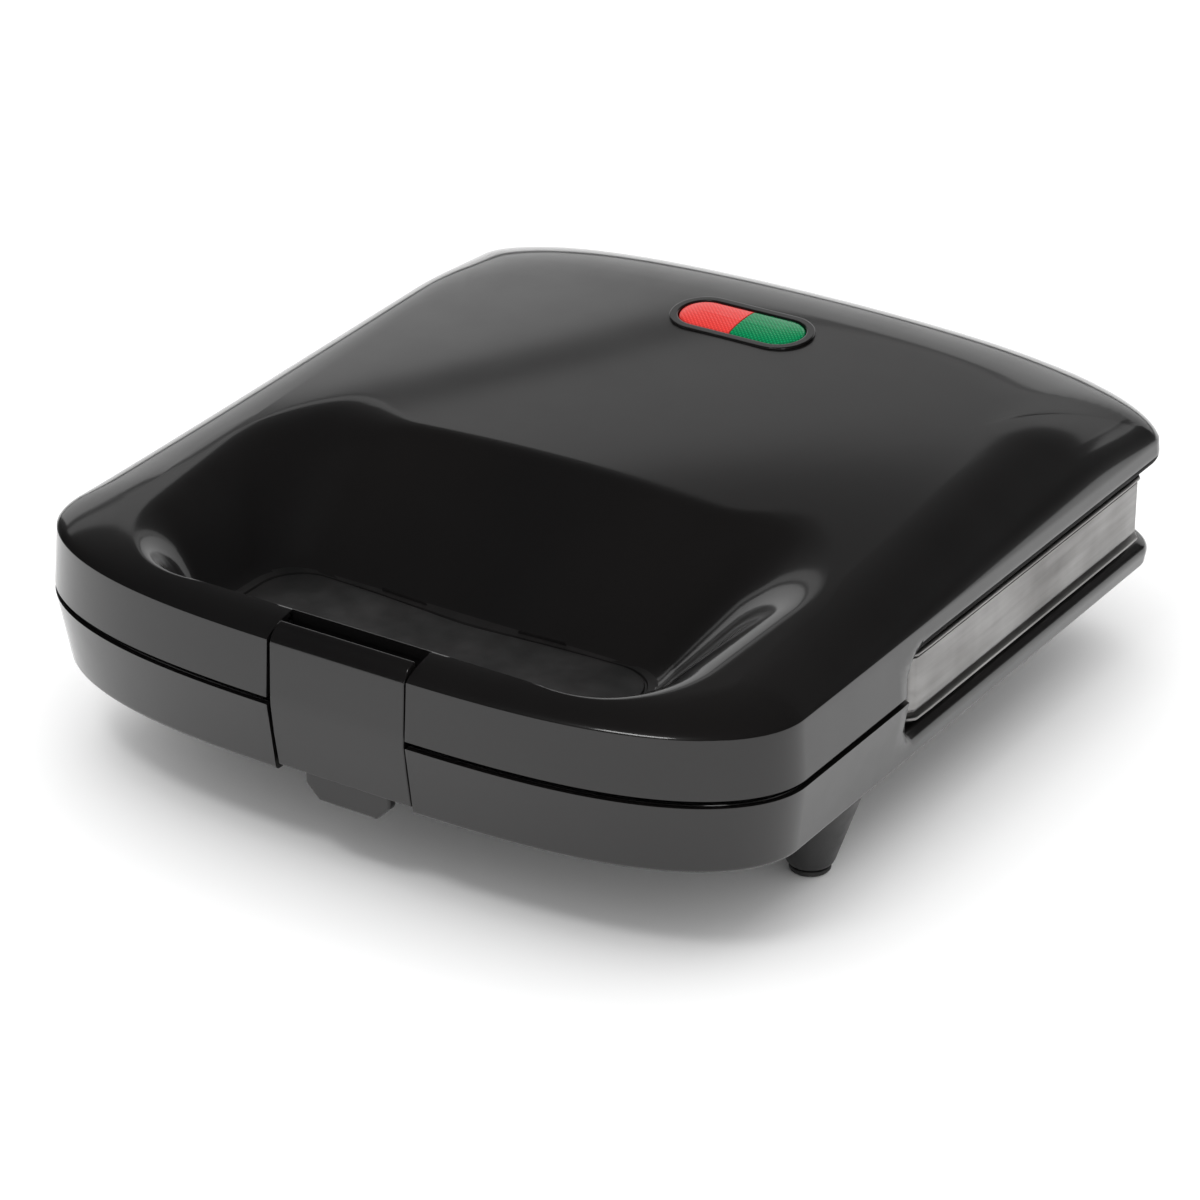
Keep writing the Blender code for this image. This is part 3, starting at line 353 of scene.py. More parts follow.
def skin_rings(bm, rings, close_ends=False):
    """Quads between a stack of closed rings of equal length."""
    rows = [[bm.verts.new(tuple(point)) for point in ring] for ring in rings]
    count = len(rows[0])
    for lower, upper in zip(rows, rows[1:]):
        for i in range(count):
            j = (i + 1) % count
            bm.faces.new((lower[i], lower[j], upper[j], upper[i]))
    if close_ends:
        bm.faces.new(rows[0])
        bm.faces.new(rows[-1])


def ring_object(name, rings, *materials, close_ends=False, outward=None):
    """An object skinned over a stack of rings."""
    bm = bmesh.new()
    skin_rings(bm, rings, close_ends)
    return mesh_object(name, bm, *materials, outward=outward)


def mirror_columns(rows):
    """Close a half grid, front centre to rear centre, into full rings."""
    other = rows[:, -2:0:-1].copy()
    other[:, :, 0] *= -1
    return np.concatenate([rows, other], axis=1)


def thicken(made, thickness):
    """Grow a skin inwards."""
    solid = made.modifiers.new("thickness", "SOLIDIFY")
    solid.thickness = thickness
    solid.offset = -1.0
    return made


def soften(made, width, segments=3, angle=40):
    """Round the edges that turn by more than angle degrees."""
    edge = made.modifiers.new("edges", "BEVEL")
    edge.width = width
    edge.segments = segments
    edge.limit_method = "ANGLE"
    edge.angle_limit = math.radians(angle)
    even = made.modifiers.new("even_shading", "WEIGHTED_NORMAL")
    even.keep_sharp = True
    return made


def box_mesh(bm, low, high):
    """Add a box between two corners."""
    made = bmesh.ops.create_cube(bm, size=1.0)
    middle = (Vector(low) + Vector(high)) / 2
    size = Vector(high) - Vector(low)
    bmesh.ops.scale(bm, vec=size, verts=made["verts"])
    bmesh.ops.translate(bm, vec=middle, verts=made["verts"])


def cutter(name, bm, matrix=None):
    """An object to cut with."""
    made = mesh_object(name, bm, outward=(0, 0, 1))
    if matrix is not None:
        made.matrix_world = matrix
    return made


def cut_away(target, tool):
    """Cut the tool out of the target's own mesh, so that the cut moves with its body."""
    cut = target.modifiers.new(tool.name, "BOOLEAN")
    cut.operation = "DIFFERENCE"
    cut.solver = "MANIFOLD"
    cut.object = tool
    evaluated = target.evaluated_get(bpy.context.evaluated_depsgraph_get())
    mesh = bpy.data.meshes.new_from_object(evaluated)
    target.modifiers.clear()
    target.data = mesh
    bpy.data.objects.remove(tool)


# Outline of the body

def outline_at(place, inset):
    """Points of the outline: place 0 to 1 is the front, then right side, rear and left side."""
    place = np.mod(np.asarray(place, float), 4.0)
    inset = np.broadcast_to(np.asarray(inset, float), place.shape)
    half = HALF_WIDTH - inset
    front, rear = FRONT_Y + inset, REAR_Y - inset
    front_depth = np.maximum(FRONT_CORNER - 0.5 * inset, 0.3 * half)
    rear_depth = np.maximum(REAR_CORNER - 0.3 * inset, 0.1 * half)
    low, high = front + front_depth, rear - rear_depth
    turn = np.pi * (place - 0.5)
    along = np.sign(turn) * np.abs(np.sin(turn)) ** (2 / FRONT_POWER)
    rear_turn = np.pi * (2.5 - place)
    rear_along = np.sign(rear_turn) * np.abs(np.sin(rear_turn)) ** (2 / REAR_POWER)
    section = np.floor(place).astype(int)
    x = np.choose(section, (half * along, half, half * rear_along, -half))
    y = np.choose(section, (front + front_depth * (1 - np.cos(turn)),
                            low + (high - low) * (place - 1),
                            rear - rear_depth * (1 - np.cos(rear_turn)),
                            high - (high - low) * (place - 3)))
    return np.stack([x, y], axis=-1)


DENSE = np.linspace(0.5, 2.5, 24001)
DENSE_POINTS = outline_at(DENSE, 0.0)
DENSE_STEPS = np.linalg.norm(np.diff(DENSE_POINTS, axis=0), axis=1)
RUN = np.concatenate([[0.0], np.cumsum(DENSE_STEPS)])
HALF_RUN = RUN[-1]


def place_of(run):
    """The outline place at this length from the front centre, along the right-hand half."""
    return np.interp(run, RUN, DENSE)


def even_runs(spacing, bend_deg):
    """Lengths along the half outline, closer together where it bends."""
    way = np.arctan2(np.diff(DENSE_POINTS[:, 1]), np.diff(DENSE_POINTS[:, 0]))
    bend = np.abs(np.diff(way, prepend=way[0]))
    cost = np.concatenate([[0.0], np.cumsum(DENSE_STEPS / spacing + bend / math.radians(bend_deg))])
    count = int(math.ceil(cost[-1]))
    return np.interp(np.linspace(0, cost[-1], count + 1), cost, RUN)


def run_at_y(y):
    """Length from the front centre to a point of the straight right side."""
    side = (DENSE > 1) & (DENSE < 2)
    return float(np.interp(y, DENSE_POINTS[side, 1], RUN[side]))


STEP_RUN = run_at_y(STEP_Y)


# Form of the lid's top

def smoothstep(x):
    """Ease from 0 to 1."""
    x = np.clip(x, 0.0, 1.0)
    return x * x * (3 - 2 * x)


def dome_height(x, y):
    """Height of the dome alone: a slope to the rear, bowed lengthways and crowned across."""
    share = (y - FRONT_Y) / (REAR_Y - FRONT_Y)
    crown = CROWN_FRONT + (CROWN_REAR - CROWN_FRONT) * share
    along = (y - DOME_START_Y) / (REAR_Y - DOME_START_Y)
    bow = 4 * DOME_BOW * along * (1 - along)
    return DOME_FRONT_Z + DOME_SLOPE * (y - DOME_START_Y) + bow - crown * (x / HALF_WIDTH) ** 2


def roll_width(y):
    """Width of the rolled edge, narrow in front and wide at the rear."""
    front = smoothstep((y - FRONT_Y) / ROLL_REACH)
    rear = smoothstep((y - REAR_Y + ROLL_REACH) / ROLL_REACH)
    return ROLL_FRONT + (ROLL_SIDE - ROLL_FRONT) * front + (ROLL_REAR - ROLL_SIDE) * rear


def outside(x, y, inset):
    """Positive outside the body outline at this inset, negative inside it."""
    half = HALF_WIDTH - inset
    front, rear = FRONT_Y + inset, REAR_Y - inset
    front_depth = max(FRONT_CORNER - 0.5 * inset, 0.3 * half)
    rear_depth = max(REAR_CORNER - 0.3 * inset, 0.1 * half)
    low, high = front + front_depth, rear - rear_depth
    wide = np.abs(x) / half
    ahead = np.maximum(low - y, 0.0) / front_depth
    behind = np.maximum(y - high, 0.0) / rear_depth
    power = np.where(y < low, FRONT_POWER, REAR_POWER)
    return wide ** power + ahead ** 2 + behind ** 2 - 1


def rolled_height(x, y):
    """Height of the lid's top with its edge rolled down to the crease, without the recess."""
    half = HALF_WIDTH - CREASE_INSET
    depth = REAR_Y - CREASE_INSET
    low = np.zeros_like(x)
    high = np.full_like(x, 0.07)
    for _ in range(40):
        share = (low + high) / 2
        beyond = outside(x * half / (half - share), y * depth / (depth - share), CREASE_INSET) > 0
        high = np.where(beyond, share, high)
        low = np.where(beyond, low, share)
    share = (low + high) / 2
    edge_y = y * depth / (depth - share)
    lean = np.clip(1 - share / roll_width(edge_y), 0.0, 1.0)
    start = math.sin(ROLL_START)
    rise = (np.sqrt(1 - (lean * math.cos(ROLL_START)) ** 2) - start) / (1 - start)
    return CREASE_Z + (dome_height(x, y) - CREASE_Z) * rise


def recess_distance(x, y, height):
    """Signed distance to the recess outline at this height above its floor."""
    half = RECESS_HALF[0] + RECESS_HALF[1] * height
    front = RECESS_FRONT[0] + RECESS_FRONT[1] * height
    back = RECESS_BACK[0] + RECESS_BACK[1] * height
    radius = RECESS_RADIUS[0] + RECESS_RADIUS[1] * height
    across = np.abs(x) - (half - radius)
    along = np.abs(y - (front + back) / 2) - ((back - front) / 2 - radius)
    corner = np.hypot(np.maximum(across, 0.0), np.maximum(along, 0.0))
    return corner + np.minimum(np.maximum(across, along), 0.0) - radius


def recess_height(x, y):
    """Height of the recess wall over a point, below the floor inside the floor's outline."""
    low, high = np.full_like(x, -0.012), np.full_like(x, 0.070)
    for _ in range(36):
        level = (low + high) / 2
        above = recess_distance(x, y, level) > 0
        low = np.where(above, level, low)
        high = np.where(above, high, level)
    return RECESS_FLOOR_Z + (low + high) / 2


def soft_min(a, b, reach):
    """The lower of two heights, rounded where they differ by less than reach."""
    return np.minimum(a, b) - np.maximum(reach - np.abs(a - b), 0.0) ** 2 / (4 * reach)


def top_height(x, y):
    """The lid's top surface: dome, rolled edge and recess, with soft rims."""
    rim = RIM_SOFT + (RIM_SOFT_ENDS - RIM_SOFT) * smoothstep((np.abs(x) - 0.050) / 0.030)
    wall = recess_height(x, y)
    scoop = -soft_min(-wall, -np.full_like(x, RECESS_FLOOR_Z), FLOOR_SOFT)
    return soft_min(scoop, rolled_height(x, y), rim)


def along_rays(condition, directions, low, high):
    """Bisect for the length along each ray from the recess middle where condition turns true."""
    low, high = low.copy(), high.copy()
    for _ in range(36):
        middle = (low + high) / 2
        point = RECESS_MIDDLE + directions * middle[:, None]
        beyond = condition(point[:, 0], point[:, 1])
        high = np.where(beyond, middle, high)
        low = np.where(beyond, low, middle)
    return (low + high) / 2


def top_rows(runs):
    """Rings of the lid's top from the recess floor out to the crease."""
    crease = outline_at(place_of(runs), CREASE_INSET)
    spokes = crease - RECESS_MIDDLE
    reach = np.linalg.norm(spokes, axis=1)
    directions = spokes / reach[:, None]
    zero = np.zeros_like(reach)
    floor = along_rays(lambda x, y: recess_distance(x, y, 0.0) > 0, directions, zero, reach)
    rim = along_rays(lambda x, y: recess_height(x, y) > rolled_height(x, y), directions, floor, reach)
    span = reach - rim
    margin = np.minimum(0.010, 0.35 * span)
    tangent = np.gradient(crease, axis=0)
    tangent /= np.linalg.norm(tangent, axis=1)[:, None]
    slant = np.abs(directions[:, 0] * tangent[:, 1] - directions[:, 1] * tangent[:, 0])
    roll = np.minimum(roll_width(crease[:, 1]) / np.maximum(slant, 0.3), 0.85 * (span - margin))
    lengths = [floor * share for share in (0.0, 0.35, 0.7)]
    lengths += [floor - offset for offset in (0.0062, 0.0045)]
    groove = len(lengths)
    lengths += [floor - FLOOR_LINE - offset for offset in (0.0006, 0.0003, -0.0003, -0.0006)]
    lengths += [floor + (rim - margin - floor) * share for share in np.linspace(-0.06, 1, 18)]
    lengths += [rim + margin * share for share in np.linspace(-1, 1, 17)[1:]]
    start = rim + margin
    lengths += [start + (reach - roll - start) * share for share in np.linspace(0, 1, 18)[1:]]
    lengths += [reach - roll * (1 - math.sin(turn)) for turn in np.linspace(0, math.pi / 2, 14)[1:]]
    rows = []
    for length in lengths:
        plan = RECESS_MIDDLE + directions * length[:, None]
        height = top_height(plan[:, 0], plan[:, 1])
        if len(rows) in (groove + 1, groove + 2):
            height = height - FLOOR_LINE_DEPTH
        rows.append(np.column_stack([plan, height]))
    rows[-1][:, 2] = CREASE_Z
    return rows


# Side walls with their rolled cut-outs

def wall_rows(starts, first_z, edge_z, cut_z, cut_roll, corner, inset_at):
    """Rings from a start ring to a wall's free edge, which steps at the side cut-out.

    The edge lies at edge_z in front of the step and at cut_z behind it. The wall curls
    inwards there by cut_roll, and its step has a round corner.
    """
    sign = 1 if cut_z > edge_z else -1
    drop = abs(cut_z - edge_z)
    arc = 0.5 * math.pi * corner
    straight = drop - corner
    length = straight + arc - corner
    progress = np.interp(starts, (0, STEP_RUN - CUT_CREEP, STEP_RUN + CUT_CREEP, HALF_RUN),
                         (0, STEP_RUN - CUT_CREEP, STEP_RUN + CUT_CREEP + length, HALF_RUN + length))
    ends = []
    for value in progress:
        if value < STEP_RUN:
            ends.append((value, edge_z))
        elif value < STEP_RUN + straight:
            ends.append((STEP_RUN, edge_z + sign * (value - STEP_RUN)))
        elif value < STEP_RUN + straight + arc:
            turn = (value - STEP_RUN - straight) / corner
            ends.append((STEP_RUN + corner * (1 - math.cos(turn)),
                         edge_z + sign * (straight + corner * math.sin(turn))))
        else:
            ends.append((value - length, cut_z))
    ends = np.array(ends)
    begin = np.column_stack([starts, np.full_like(starts, first_z)])
    full = np.linalg.norm(ends - begin, axis=1)
    near = np.minimum(cut_roll / full, 0.9)
    shares = [(1 - near) * step / 5 for step in range(1, 6)]
    shares += [1 - near * (1 - math.sin(turn)) for turn in np.linspace(0, math.pi / 2, 10)[1:]]
    rows = []
    for share in shares:
        spot = begin + (ends - begin) * share[:, None]
        rows.append(wall_point(spot, cut_z, sign, cut_roll, corner, inset_at))
    for extra in (0.0010, 0.0022):
        rows.append(wall_point(ends, cut_z, sign, cut_roll, corner, inset_at, extra))
    return rows


def wall_point(spot, cut_z, sign, cut_roll, corner, inset_at, extra=0.0):
    """Places of (length, height) spots on a wall that curls inwards near the cut-out's edge."""
    run, height = spot[:, 0], spot[:, 1]
    ahead = STEP_RUN - run + corner
    above = sign * (height - cut_z) + corner
    clear = np.minimum(np.maximum(ahead, above), 0.0)
    clear = clear + np.hypot(np.maximum(ahead, 0.0), np.maximum(above, 0.0)) - corner
    clear = np.clip(clear, 0.0, cut_roll)
    curl = cut_roll - np.sqrt(np.maximum(cut_roll ** 2 - (cut_roll - clear) ** 2, 0.0))
    plan = outline_at(place_of(run), inset_at(height) + curl + extra)
    return np.column_stack([plan, height])


def lid_inset(z):
    """How far the lid's wall stands in from the outline at this height."""
    return CREASE_INSET * (z - LID_BOTTOM_Z) / (CREASE_Z - LID_BOTTOM_Z)


def base_inset(z):
    """How far the base's wall stands in from the outline at this height."""
    return BASE_DRAFT * (BASE_TOP_Z - z) / (BASE_TOP_Z - BASE_BOTTOM_Z)


def make_lid_shell():
    """The lid's skin: top, recess and walls, cut for the latch and the lamp window."""
    runs = even_runs(RING_SPACING, RING_BEND_DEG)
    rows = top_rows(runs)
    rows += wall_rows(runs, CREASE_Z, LID_BOTTOM_Z, LID_RIM_Z, LID_CUT_ROLL, LID_CUT_CORNER, lid_inset)
    grid = mirror_columns(np.array(rows))
    shell = ring_object("upper_cover_shell", grid, GLOSS, PANEL, SHADE_EDGE, outward=(0, 0, 1))
    for face in shell.data.polygons:
        if recess_distance(face.center.x, face.center.y, 0.0) < -0.0004:
            face.material_index = 1
    # Painted shade on the curled cut-out edges below the crease.
    paint_shade_on_edges(shell, CREASE_Z - 0.002)
    thicken(shell, SHEET)
    tool = bmesh.new()
    box_mesh(tool, (-CHANNEL_HALF, FRONT_Y - 0.004, LID_BOTTOM_Z - 0.001),
             (CHANNEL_HALF, CHANNEL_BACK_Y, DOME_FRONT_Z + 0.013))
    cut_away(shell, cutter("latch_channel_tool", tool))
    window = bmesh.new()
    rings = [capsule_ring(LENS_HALF + 0.0016, LENS_R + 0.0016, z) for z in (-0.012, 0.012)]
    skin_rings(window, rings, True)
    cut_away(shell, cutter("window_tool", window, lamp_place()))
    soften(shell, 0.0004)
    return shell


def paint_shade_on_edges(shell, below_z):
    """Paint shade on the inward-curled edges of the side cut-out: faces that look down, or back at the
    step, get a black that barely reflects.
    """
    for face in shell.data.polygons:
        if face.center.z > below_z or face.center.y < STEP_Y - 0.001:
            continue
        under = face.normal.z < -0.15
        ahead = face.normal.y > 0.35 and face.center.y < STEP_Y + 0.008
        if under or ahead:
            face.material_index = 2


def capsule_ring(half, radius, z, steps=16):
    """A flat ring with straight sides and round ends, half long from its middle."""
    points = []
    for centre, first in ((half - radius, -90), (radius - half, 90)):
        for i in range(steps + 1):
            turn = math.radians(first + 180 * i / steps)
            points.append((centre + radius * math.cos(turn), radius * math.sin(turn), z))
    return points


def lamp_place():
    """The lamp window's frame: on the dome and tilted with it."""
    centre = Vector((0.0, LAMP_Y, float(dome_height(0.0, LAMP_Y))))
    return Matrix.Translation(centre) @ Matrix.Rotation(math.atan(DOME_SLOPE), 4, "X")


def make_base_shell():
    """The base's skin: flat bottom, rounded edge and walls, cut for the latch."""
    runs = even_runs(RING_SPACING, RING_BEND_DEG)
    rows = []
    for share in (0.0, 0.4, 0.75, 0.92):
        ring = outline_at(place_of(runs), 0.0052) * share
        rows.append(np.column_stack([ring, np.full_like(runs, BASE_BOTTOM_Z)]))
    edge = 0.0018
    for turn in np.linspace(0, math.pi / 2, 7):
        inset = base_inset(BASE_BOTTOM_Z + edge) + edge * (1 - math.sin(turn))
        z = BASE_BOTTOM_Z + edge * (1 - math.cos(turn))
        rows.append(np.column_stack([outline_at(place_of(runs), inset), np.full_like(runs, z)]))
    rows += wall_rows(runs, BASE_BOTTOM_Z + edge, BASE_TOP_Z, BASE_RIM_Z,
                      BASE_CUT_ROLL, BASE_CUT_CORNER, base_inset)
    grid = mirror_columns(np.array(rows))
    shell = ring_object("base_housing_shell", grid, GLOSS, outward=(0, 0, -1))
    thicken(shell, SHEET)
    tool = bmesh.new()
    box_mesh(tool, (-CHANNEL_HALF, FRONT_Y - 0.01, 0.020), (CHANNEL_HALF, BASE_CHANNEL_BACK_Y, 0.060))
    cut_away(shell, cutter("base_channel_tool", tool))
    soften(shell, 0.0004)
    return shell


# Smaller pieces

def profile_bar(bm, outline, half):
    """Extrude a closed outline of (distance behind the front, height) across X."""
    ends = []
    for x in (-half, half):
        ends.append([bm.verts.new((x, FRONT_Y + y, z)) for y, z in outline])
    count = len(outline)
    for i in range(count):
        j = (i + 1) % count
        bm.faces.new((ends[0][i], ends[0][j], ends[1][j], ends[1][i]))
    bm.faces.new(ends[0])
    bm.faces.new(ends[1])


def make_pocket(name, low_z, high_z, back):
    """The three walls behind the latch that close its channel off from the shell's hollow."""
    bm = bmesh.new()
    wall = 0.0014
    front = FRONT_Y + 0.0042
    box_mesh(bm, (-CHANNEL_HALF - wall, back, low_z), (CHANNEL_HALF + wall, back + wall, high_z))
    for side in (-1, 1):
        x = sorted((side * CHANNEL_HALF, side * (CHANNEL_HALF + wall)))
        box_mesh(bm, (x[0], front, low_z), (x[1], back + 0.0002, high_z))
    return soften(mesh_object(name, bm, GLOSS), 0.0002, 2)


def make_latch():
    """A curved panel over the parting line, between a thin foot and a rolled top."""
    start = math.radians(28)
    turns = np.linspace(start, math.pi / 2, 12)
    foot, crease, top = (0.0034, 0.0295), (0.0013, 0.0672), (0.0068, 0.0718)
    wide = (top[0] - crease[0]) / math.cos(start)
    high = (top[1] - crease[1]) / (1 - math.sin(start))
    outer = [foot, (0.0016, 0.0400), (0.0005, 0.0490), (0.0006, 0.0540), (0.0010, 0.0615)]
    outer += [(crease[0] + wide * (math.cos(start) - math.cos(turn)),
               crease[1] + high * (math.sin(turn) - math.sin(start))) for turn in turns]
    inner = [(0.0068, 0.0698), (0.0054, 0.0692), (0.0044, 0.0678), (0.0039, 0.0655),
             (0.0036, 0.0620), (0.0028, 0.0500), (0.0058, 0.0295)]
    bm = bmesh.new()
    profile_bar(bm, outer + inner, LATCH_HALF)
    return soften(mesh_object("latch_panel", bm, GLOSS), 0.00045, 3, 50)


def make_latch_fittings():
    """Knuckles on the pin, and the webs that join them to the panel."""
    bm = bmesh.new()
    for side in (-1, 1):
        near, far = sorted((side * 0.0110, side * (LATCH_HALF - 0.0004)))
        box_mesh(bm, (near, FRONT_Y + 0.0030, 0.0590), (far, LATCH_PIVOT.y, 0.0640))
        ring = bmesh.ops.create_cone(bm, cap_ends=True, segments=40, radius1=0.003, radius2=0.003,
                                     depth=far - near)
        place = Matrix.Translation(((near + far) / 2, LATCH_PIVOT.y, LATCH_PIVOT.z))
        place = place @ Matrix.Rotation(math.pi / 2, 4, "Y")
        bmesh.ops.transform(bm, matrix=place, verts=ring["verts"])
    return soften(mesh_object("latch_knuckles", bm, GLOSS), 0.0002, 2, 50)


def make_latch_tab():
    """The finger tab: a plate with cut corners below the panel."""
    half, chamfer = 0.0140, 0.0045
    low, high = LATCH_LOW.z, 0.0345
    outline = [(-half, high), (-half, low + chamfer), (-half + chamfer, low), (half - chamfer, low),
               (half, low + chamfer), (half, high)]
    bm = bmesh.new()
    layers = []
    for y in (0.0044, 0.0078):
        layers.append([bm.verts.new((x, FRONT_Y + y, z)) for x, z in outline])
    for i in range(len(outline)):
        j = (i + 1) % len(outline)
        bm.faces.new((layers[0][i], layers[0][j], layers[1][j], layers[1][i]))
    bm.faces.new(layers[0])
    bm.faces.new(layers[1])
    return soften(mesh_object("latch_tab", bm, GLOSS), 0.0009, 4, 30)


def offset_capsule(offset, z):
    """The lens outline, grown by offset."""
    return capsule_ring(LENS_HALF + offset, LENS_R + offset, z, 24)


def make_bezel():
    """A low flat ring with rounded shoulders round the lamp window."""
    inner, outer, top, foot = 0.0001, 0.0027, 0.0006, -0.0050
    profile = [(inner, foot), (inner, 0.0002), (0.00015, 0.00045), (0.0003, top), (0.0006, top),
               (0.0022, top), (0.0025, top), (0.00265, 0.00045), (outer, 0.0002), (outer, -0.0005),
               (0.0016, -0.0008), (0.0016, foot)]
    rings = [offset_capsule(offset, z) for offset, z in profile]
    bezel = ring_object("window_bezel", rings + rings[:1], GLOSS, outward=(0, 0, 1))
    bezel.matrix_world = lamp_place()
    return bezel


def make_lens(name, side, material):
    """One end of the window: a pillowed lens with a straight inner edge."""
    profile = [(-0.0002, -0.0030), (-0.0002, -0.0001), (-0.0006, 0.0004), (-0.0014, 0.0007),
               (-0.0030, 0.00095), (-0.0050, 0.0011), (-0.0078, 0.0012)]
    bm = bmesh.new()
    skin_rings(bm, [offset_capsule(offset, z) for offset, z in profile], True)
    whole = bm.verts[:] + bm.edges[:] + bm.faces[:]
    cut = bmesh.ops.bisect_plane(bm, geom=whole, plane_co=(side * 0.00015, 0, 0),
                                 plane_no=(side, 0, 0), clear_inner=True)
    rim = [item for item in cut["geom_cut"] if isinstance(item, bmesh.types.BMEdge)]
    bmesh.ops.contextual_create(bm, geom=rim)
    lens = mesh_object(name, bm, material, outward=(0, 0, 1))
    lens.matrix_world = lamp_place()
    return soften(lens, 0.00015, 2, 50)


def turned(name, profile, material, x, y, steps=64):
    """Turn a profile of (radius, height) about a vertical axis."""
    rings = []
    for radius, z in profile:
        turns = [2 * math.pi * i / steps for i in range(steps)]
        rings.append([(x + radius * math.cos(turn), y + radius * math.sin(turn), z) for turn in turns])
    return ring_object(name, rings, material, close_ends=True, outward=(0, 0, 1))


def make_foot(node):
    """A tapered foot with a rounded lower edge, on a thin pad."""
    low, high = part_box(node)
    x, y = (low.x + high.x) / 2, (low.y + high.y) / 2
    top, foot_z = 0.0148, low.z
    shoulder = BASE_BOTTOM_Z - 0.0003
    toe, round_r = 0.0066, 0.0018
    profile = [(0.0050, high.z), (0.0050, shoulder), (top - 0.0006, shoulder), (top, shoulder - 0.0006)]
    profile += [(top + (toe + 0.0004 - top) * share, shoulder + (foot_z + round_r - shoulder) * share)
                for share in np.linspace(0.15, 1, 6)]
    profile += [(toe - round_r * (1 - math.cos(turn)) + 0.0002, foot_z + round_r * (1 - math.sin(turn)))
                for turn in np.linspace(0.25, math.pi / 2, 6)]
    return soften(turned(node + "_cone", profile, FOOT_BLACK, x, y), 0.0002, 2, 60)


def make_pad(node):
    """A flat disc with a rounded edge and a shallow hollow under it."""
    low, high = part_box(node)
    x, y = (low.x + high.x) / 2, (low.y + high.y) / 2
    radius = (high.x - low.x) / 2
    profile = [(radius - 0.0004, high.z), (radius, high.z - 0.0002), (radius, 0.0006),
               (radius - 0.0003, 0.0002), (radius - 0.0008, 0.0), (radius - 0.0030, 0.0),
               (radius - 0.0034, 0.0003)]
    return soften(turned(node + "_disc", profile, RUBBER, x, y, 48), 0.0001, 2, 60)


# Baking plates

def plate_outline(half, front, back, radius, directions):
    """Points where rays from the middle of a rounded rectangle meet it."""
    middle = (front + back) / 2
    depth = (back - front) / 2
    points = []
    for direction in directions:
        low, high = 0.0, 0.3
        for _ in range(30):
            reach = (low + high) / 2
            x, y = direction[0] * reach, direction[1] * reach
            across, along = abs(x) - (half - radius), abs(y) - (depth - radius)
            out = math.hypot(max(across, 0), max(along, 0)) + min(max(across, along), 0) > radius
            low, high = (low, reach) if out else (reach, high)
        points.append((x, middle + y))
    return points


def mould_profile(reach):
    """Depth of a mould at this distance from its centre: half a torus with a soft lip."""
    off = abs(reach - MOULD_R)
    if off >= MOULD_BORE + MOULD_LIP:
        return 0.0
    if off > MOULD_BORE - MOULD_LIP * 0.2:
        share = (MOULD_BORE + MOULD_LIP - off) / (1.2 * MOULD_LIP)
        edge = math.sqrt(MOULD_BORE ** 2 - (MOULD_BORE - MOULD_LIP * 0.2) ** 2)
        return edge * share * share
    return math.sqrt(MOULD_BORE ** 2 - off ** 2)


def mould_tile(bm, x, y, face_z, way):
    """One mould in its rectangular share of the plate's face, narrower towards the border."""
    half_x = MOULD_PITCH[0] / 2
    half_y = {True: MOULD_PITCH[1] / 2, False: TILE_REACH}
    outer_way = 1 if y > MOULD_Y else -1
    bore = MOULD_BORE
    radii = [0.003, 0.006] + [MOULD_R - bore - MOULD_LIP * share for share in (1.0, 0.5, 0.0)]
    radii += [MOULD_R - bore * math.cos(turn) for turn in np.linspace(0.16, math.pi - 0.16, 17)]
    radii += [MOULD_R + bore + MOULD_LIP * share for share in (0.0, 0.5, 1.0)]
    turns = [2 * math.pi * (i + 0.5) / TILE_SEGMENTS for i in range(TILE_SEGMENTS)]
    rings = [[(x, y, face_z)] * TILE_SEGMENTS]
    for radius in radii:
        z = face_z + way * mould_profile(radius)
        rings.append([(x + radius * math.cos(t), y + radius * math.sin(t), z) for t in turns])
    rim_turns = list(turns)
    for side in (-1, 1):
        for end in (-1, 1):
            corner = math.atan2(end * half_y[end != outer_way], side * half_x) % (2 * math.pi)
            nearest = min(range(TILE_SEGMENTS), key=lambda i: abs(turns[i] - corner))
            rim_turns[nearest] = corner
    rim = []
    for turn in rim_turns:
        depth = half_y[math.sin(turn) * outer_way < 0]
        reach = min(half_x / abs(math.cos(turn)), depth / abs(math.sin(turn)))
        rim.append((x + reach * math.cos(turn), y + reach * math.sin(turn), face_z))
    rings.append(rim)
    skin_rings(bm, rings)


def make_plate(name, half, front, back, face_z, way, skirt):
    """A baking plate: six moulds, a flat border and a skirt.

    The moulds bulge to the side way. The skirt is a list of (inset, height).
    """
    bm = bmesh.new()
    for row in (-0.5, 0.5):
        for column in (-1, 0, 1):
            mould_tile(bm, column * MOULD_PITCH[0], MOULD_Y + row * MOULD_PITCH[1], face_z, way)
    bmesh.ops.remove_doubles(bm, verts=bm.verts, dist=0.00002)
    previous = border_loop(bm)
    stretch_x = half / (1.5 * MOULD_PITCH[0])
    stretch_y = (back - front) / 2 / MOULD_PITCH[1]
    directions = [Vector((vert.co.x * stretch_x, (vert.co.y - MOULD_Y) * stretch_y)).normalized()
                  for vert in previous]
    corner = 0.004
    for number, (inset, z) in enumerate(skirt):
        outline = plate_outline(half - inset, front + inset, back - inset, max(corner - inset, 0.001),
                                directions)
        current = [bm.verts.new((x, y, z)) for x, y in outline]
        for i in range(len(current)):
            j = (i + 1) % len(current)
            face = bm.faces.new((previous[i], previous[j], current[j], current[i]))
            face.material_index = 1 if number >= 2 else 0
        previous = current
    plate = mesh_object(name, bm, COATING, SKIRT, outward=(0, 0, -way))
    thicken(plate, PLATE_SHEET)
    return soften(plate, 0.0003, 2, 50)


def border_loop(bm):
    """The outer border of the tiles' mesh, as an ordered loop of vertices."""
    edges = [edge for edge in bm.edges if len(edge.link_faces) == 1]
    start = edges[0].verts[0]
    loop, current, last = [start], start, None
    while True:
        for edge in current.link_edges:
            if len(edge.link_faces) == 1 and edge is not last:
                last = edge
                current = edge.other_vert(current)
                break
        if current is start:
            return loop
        loop.append(current)


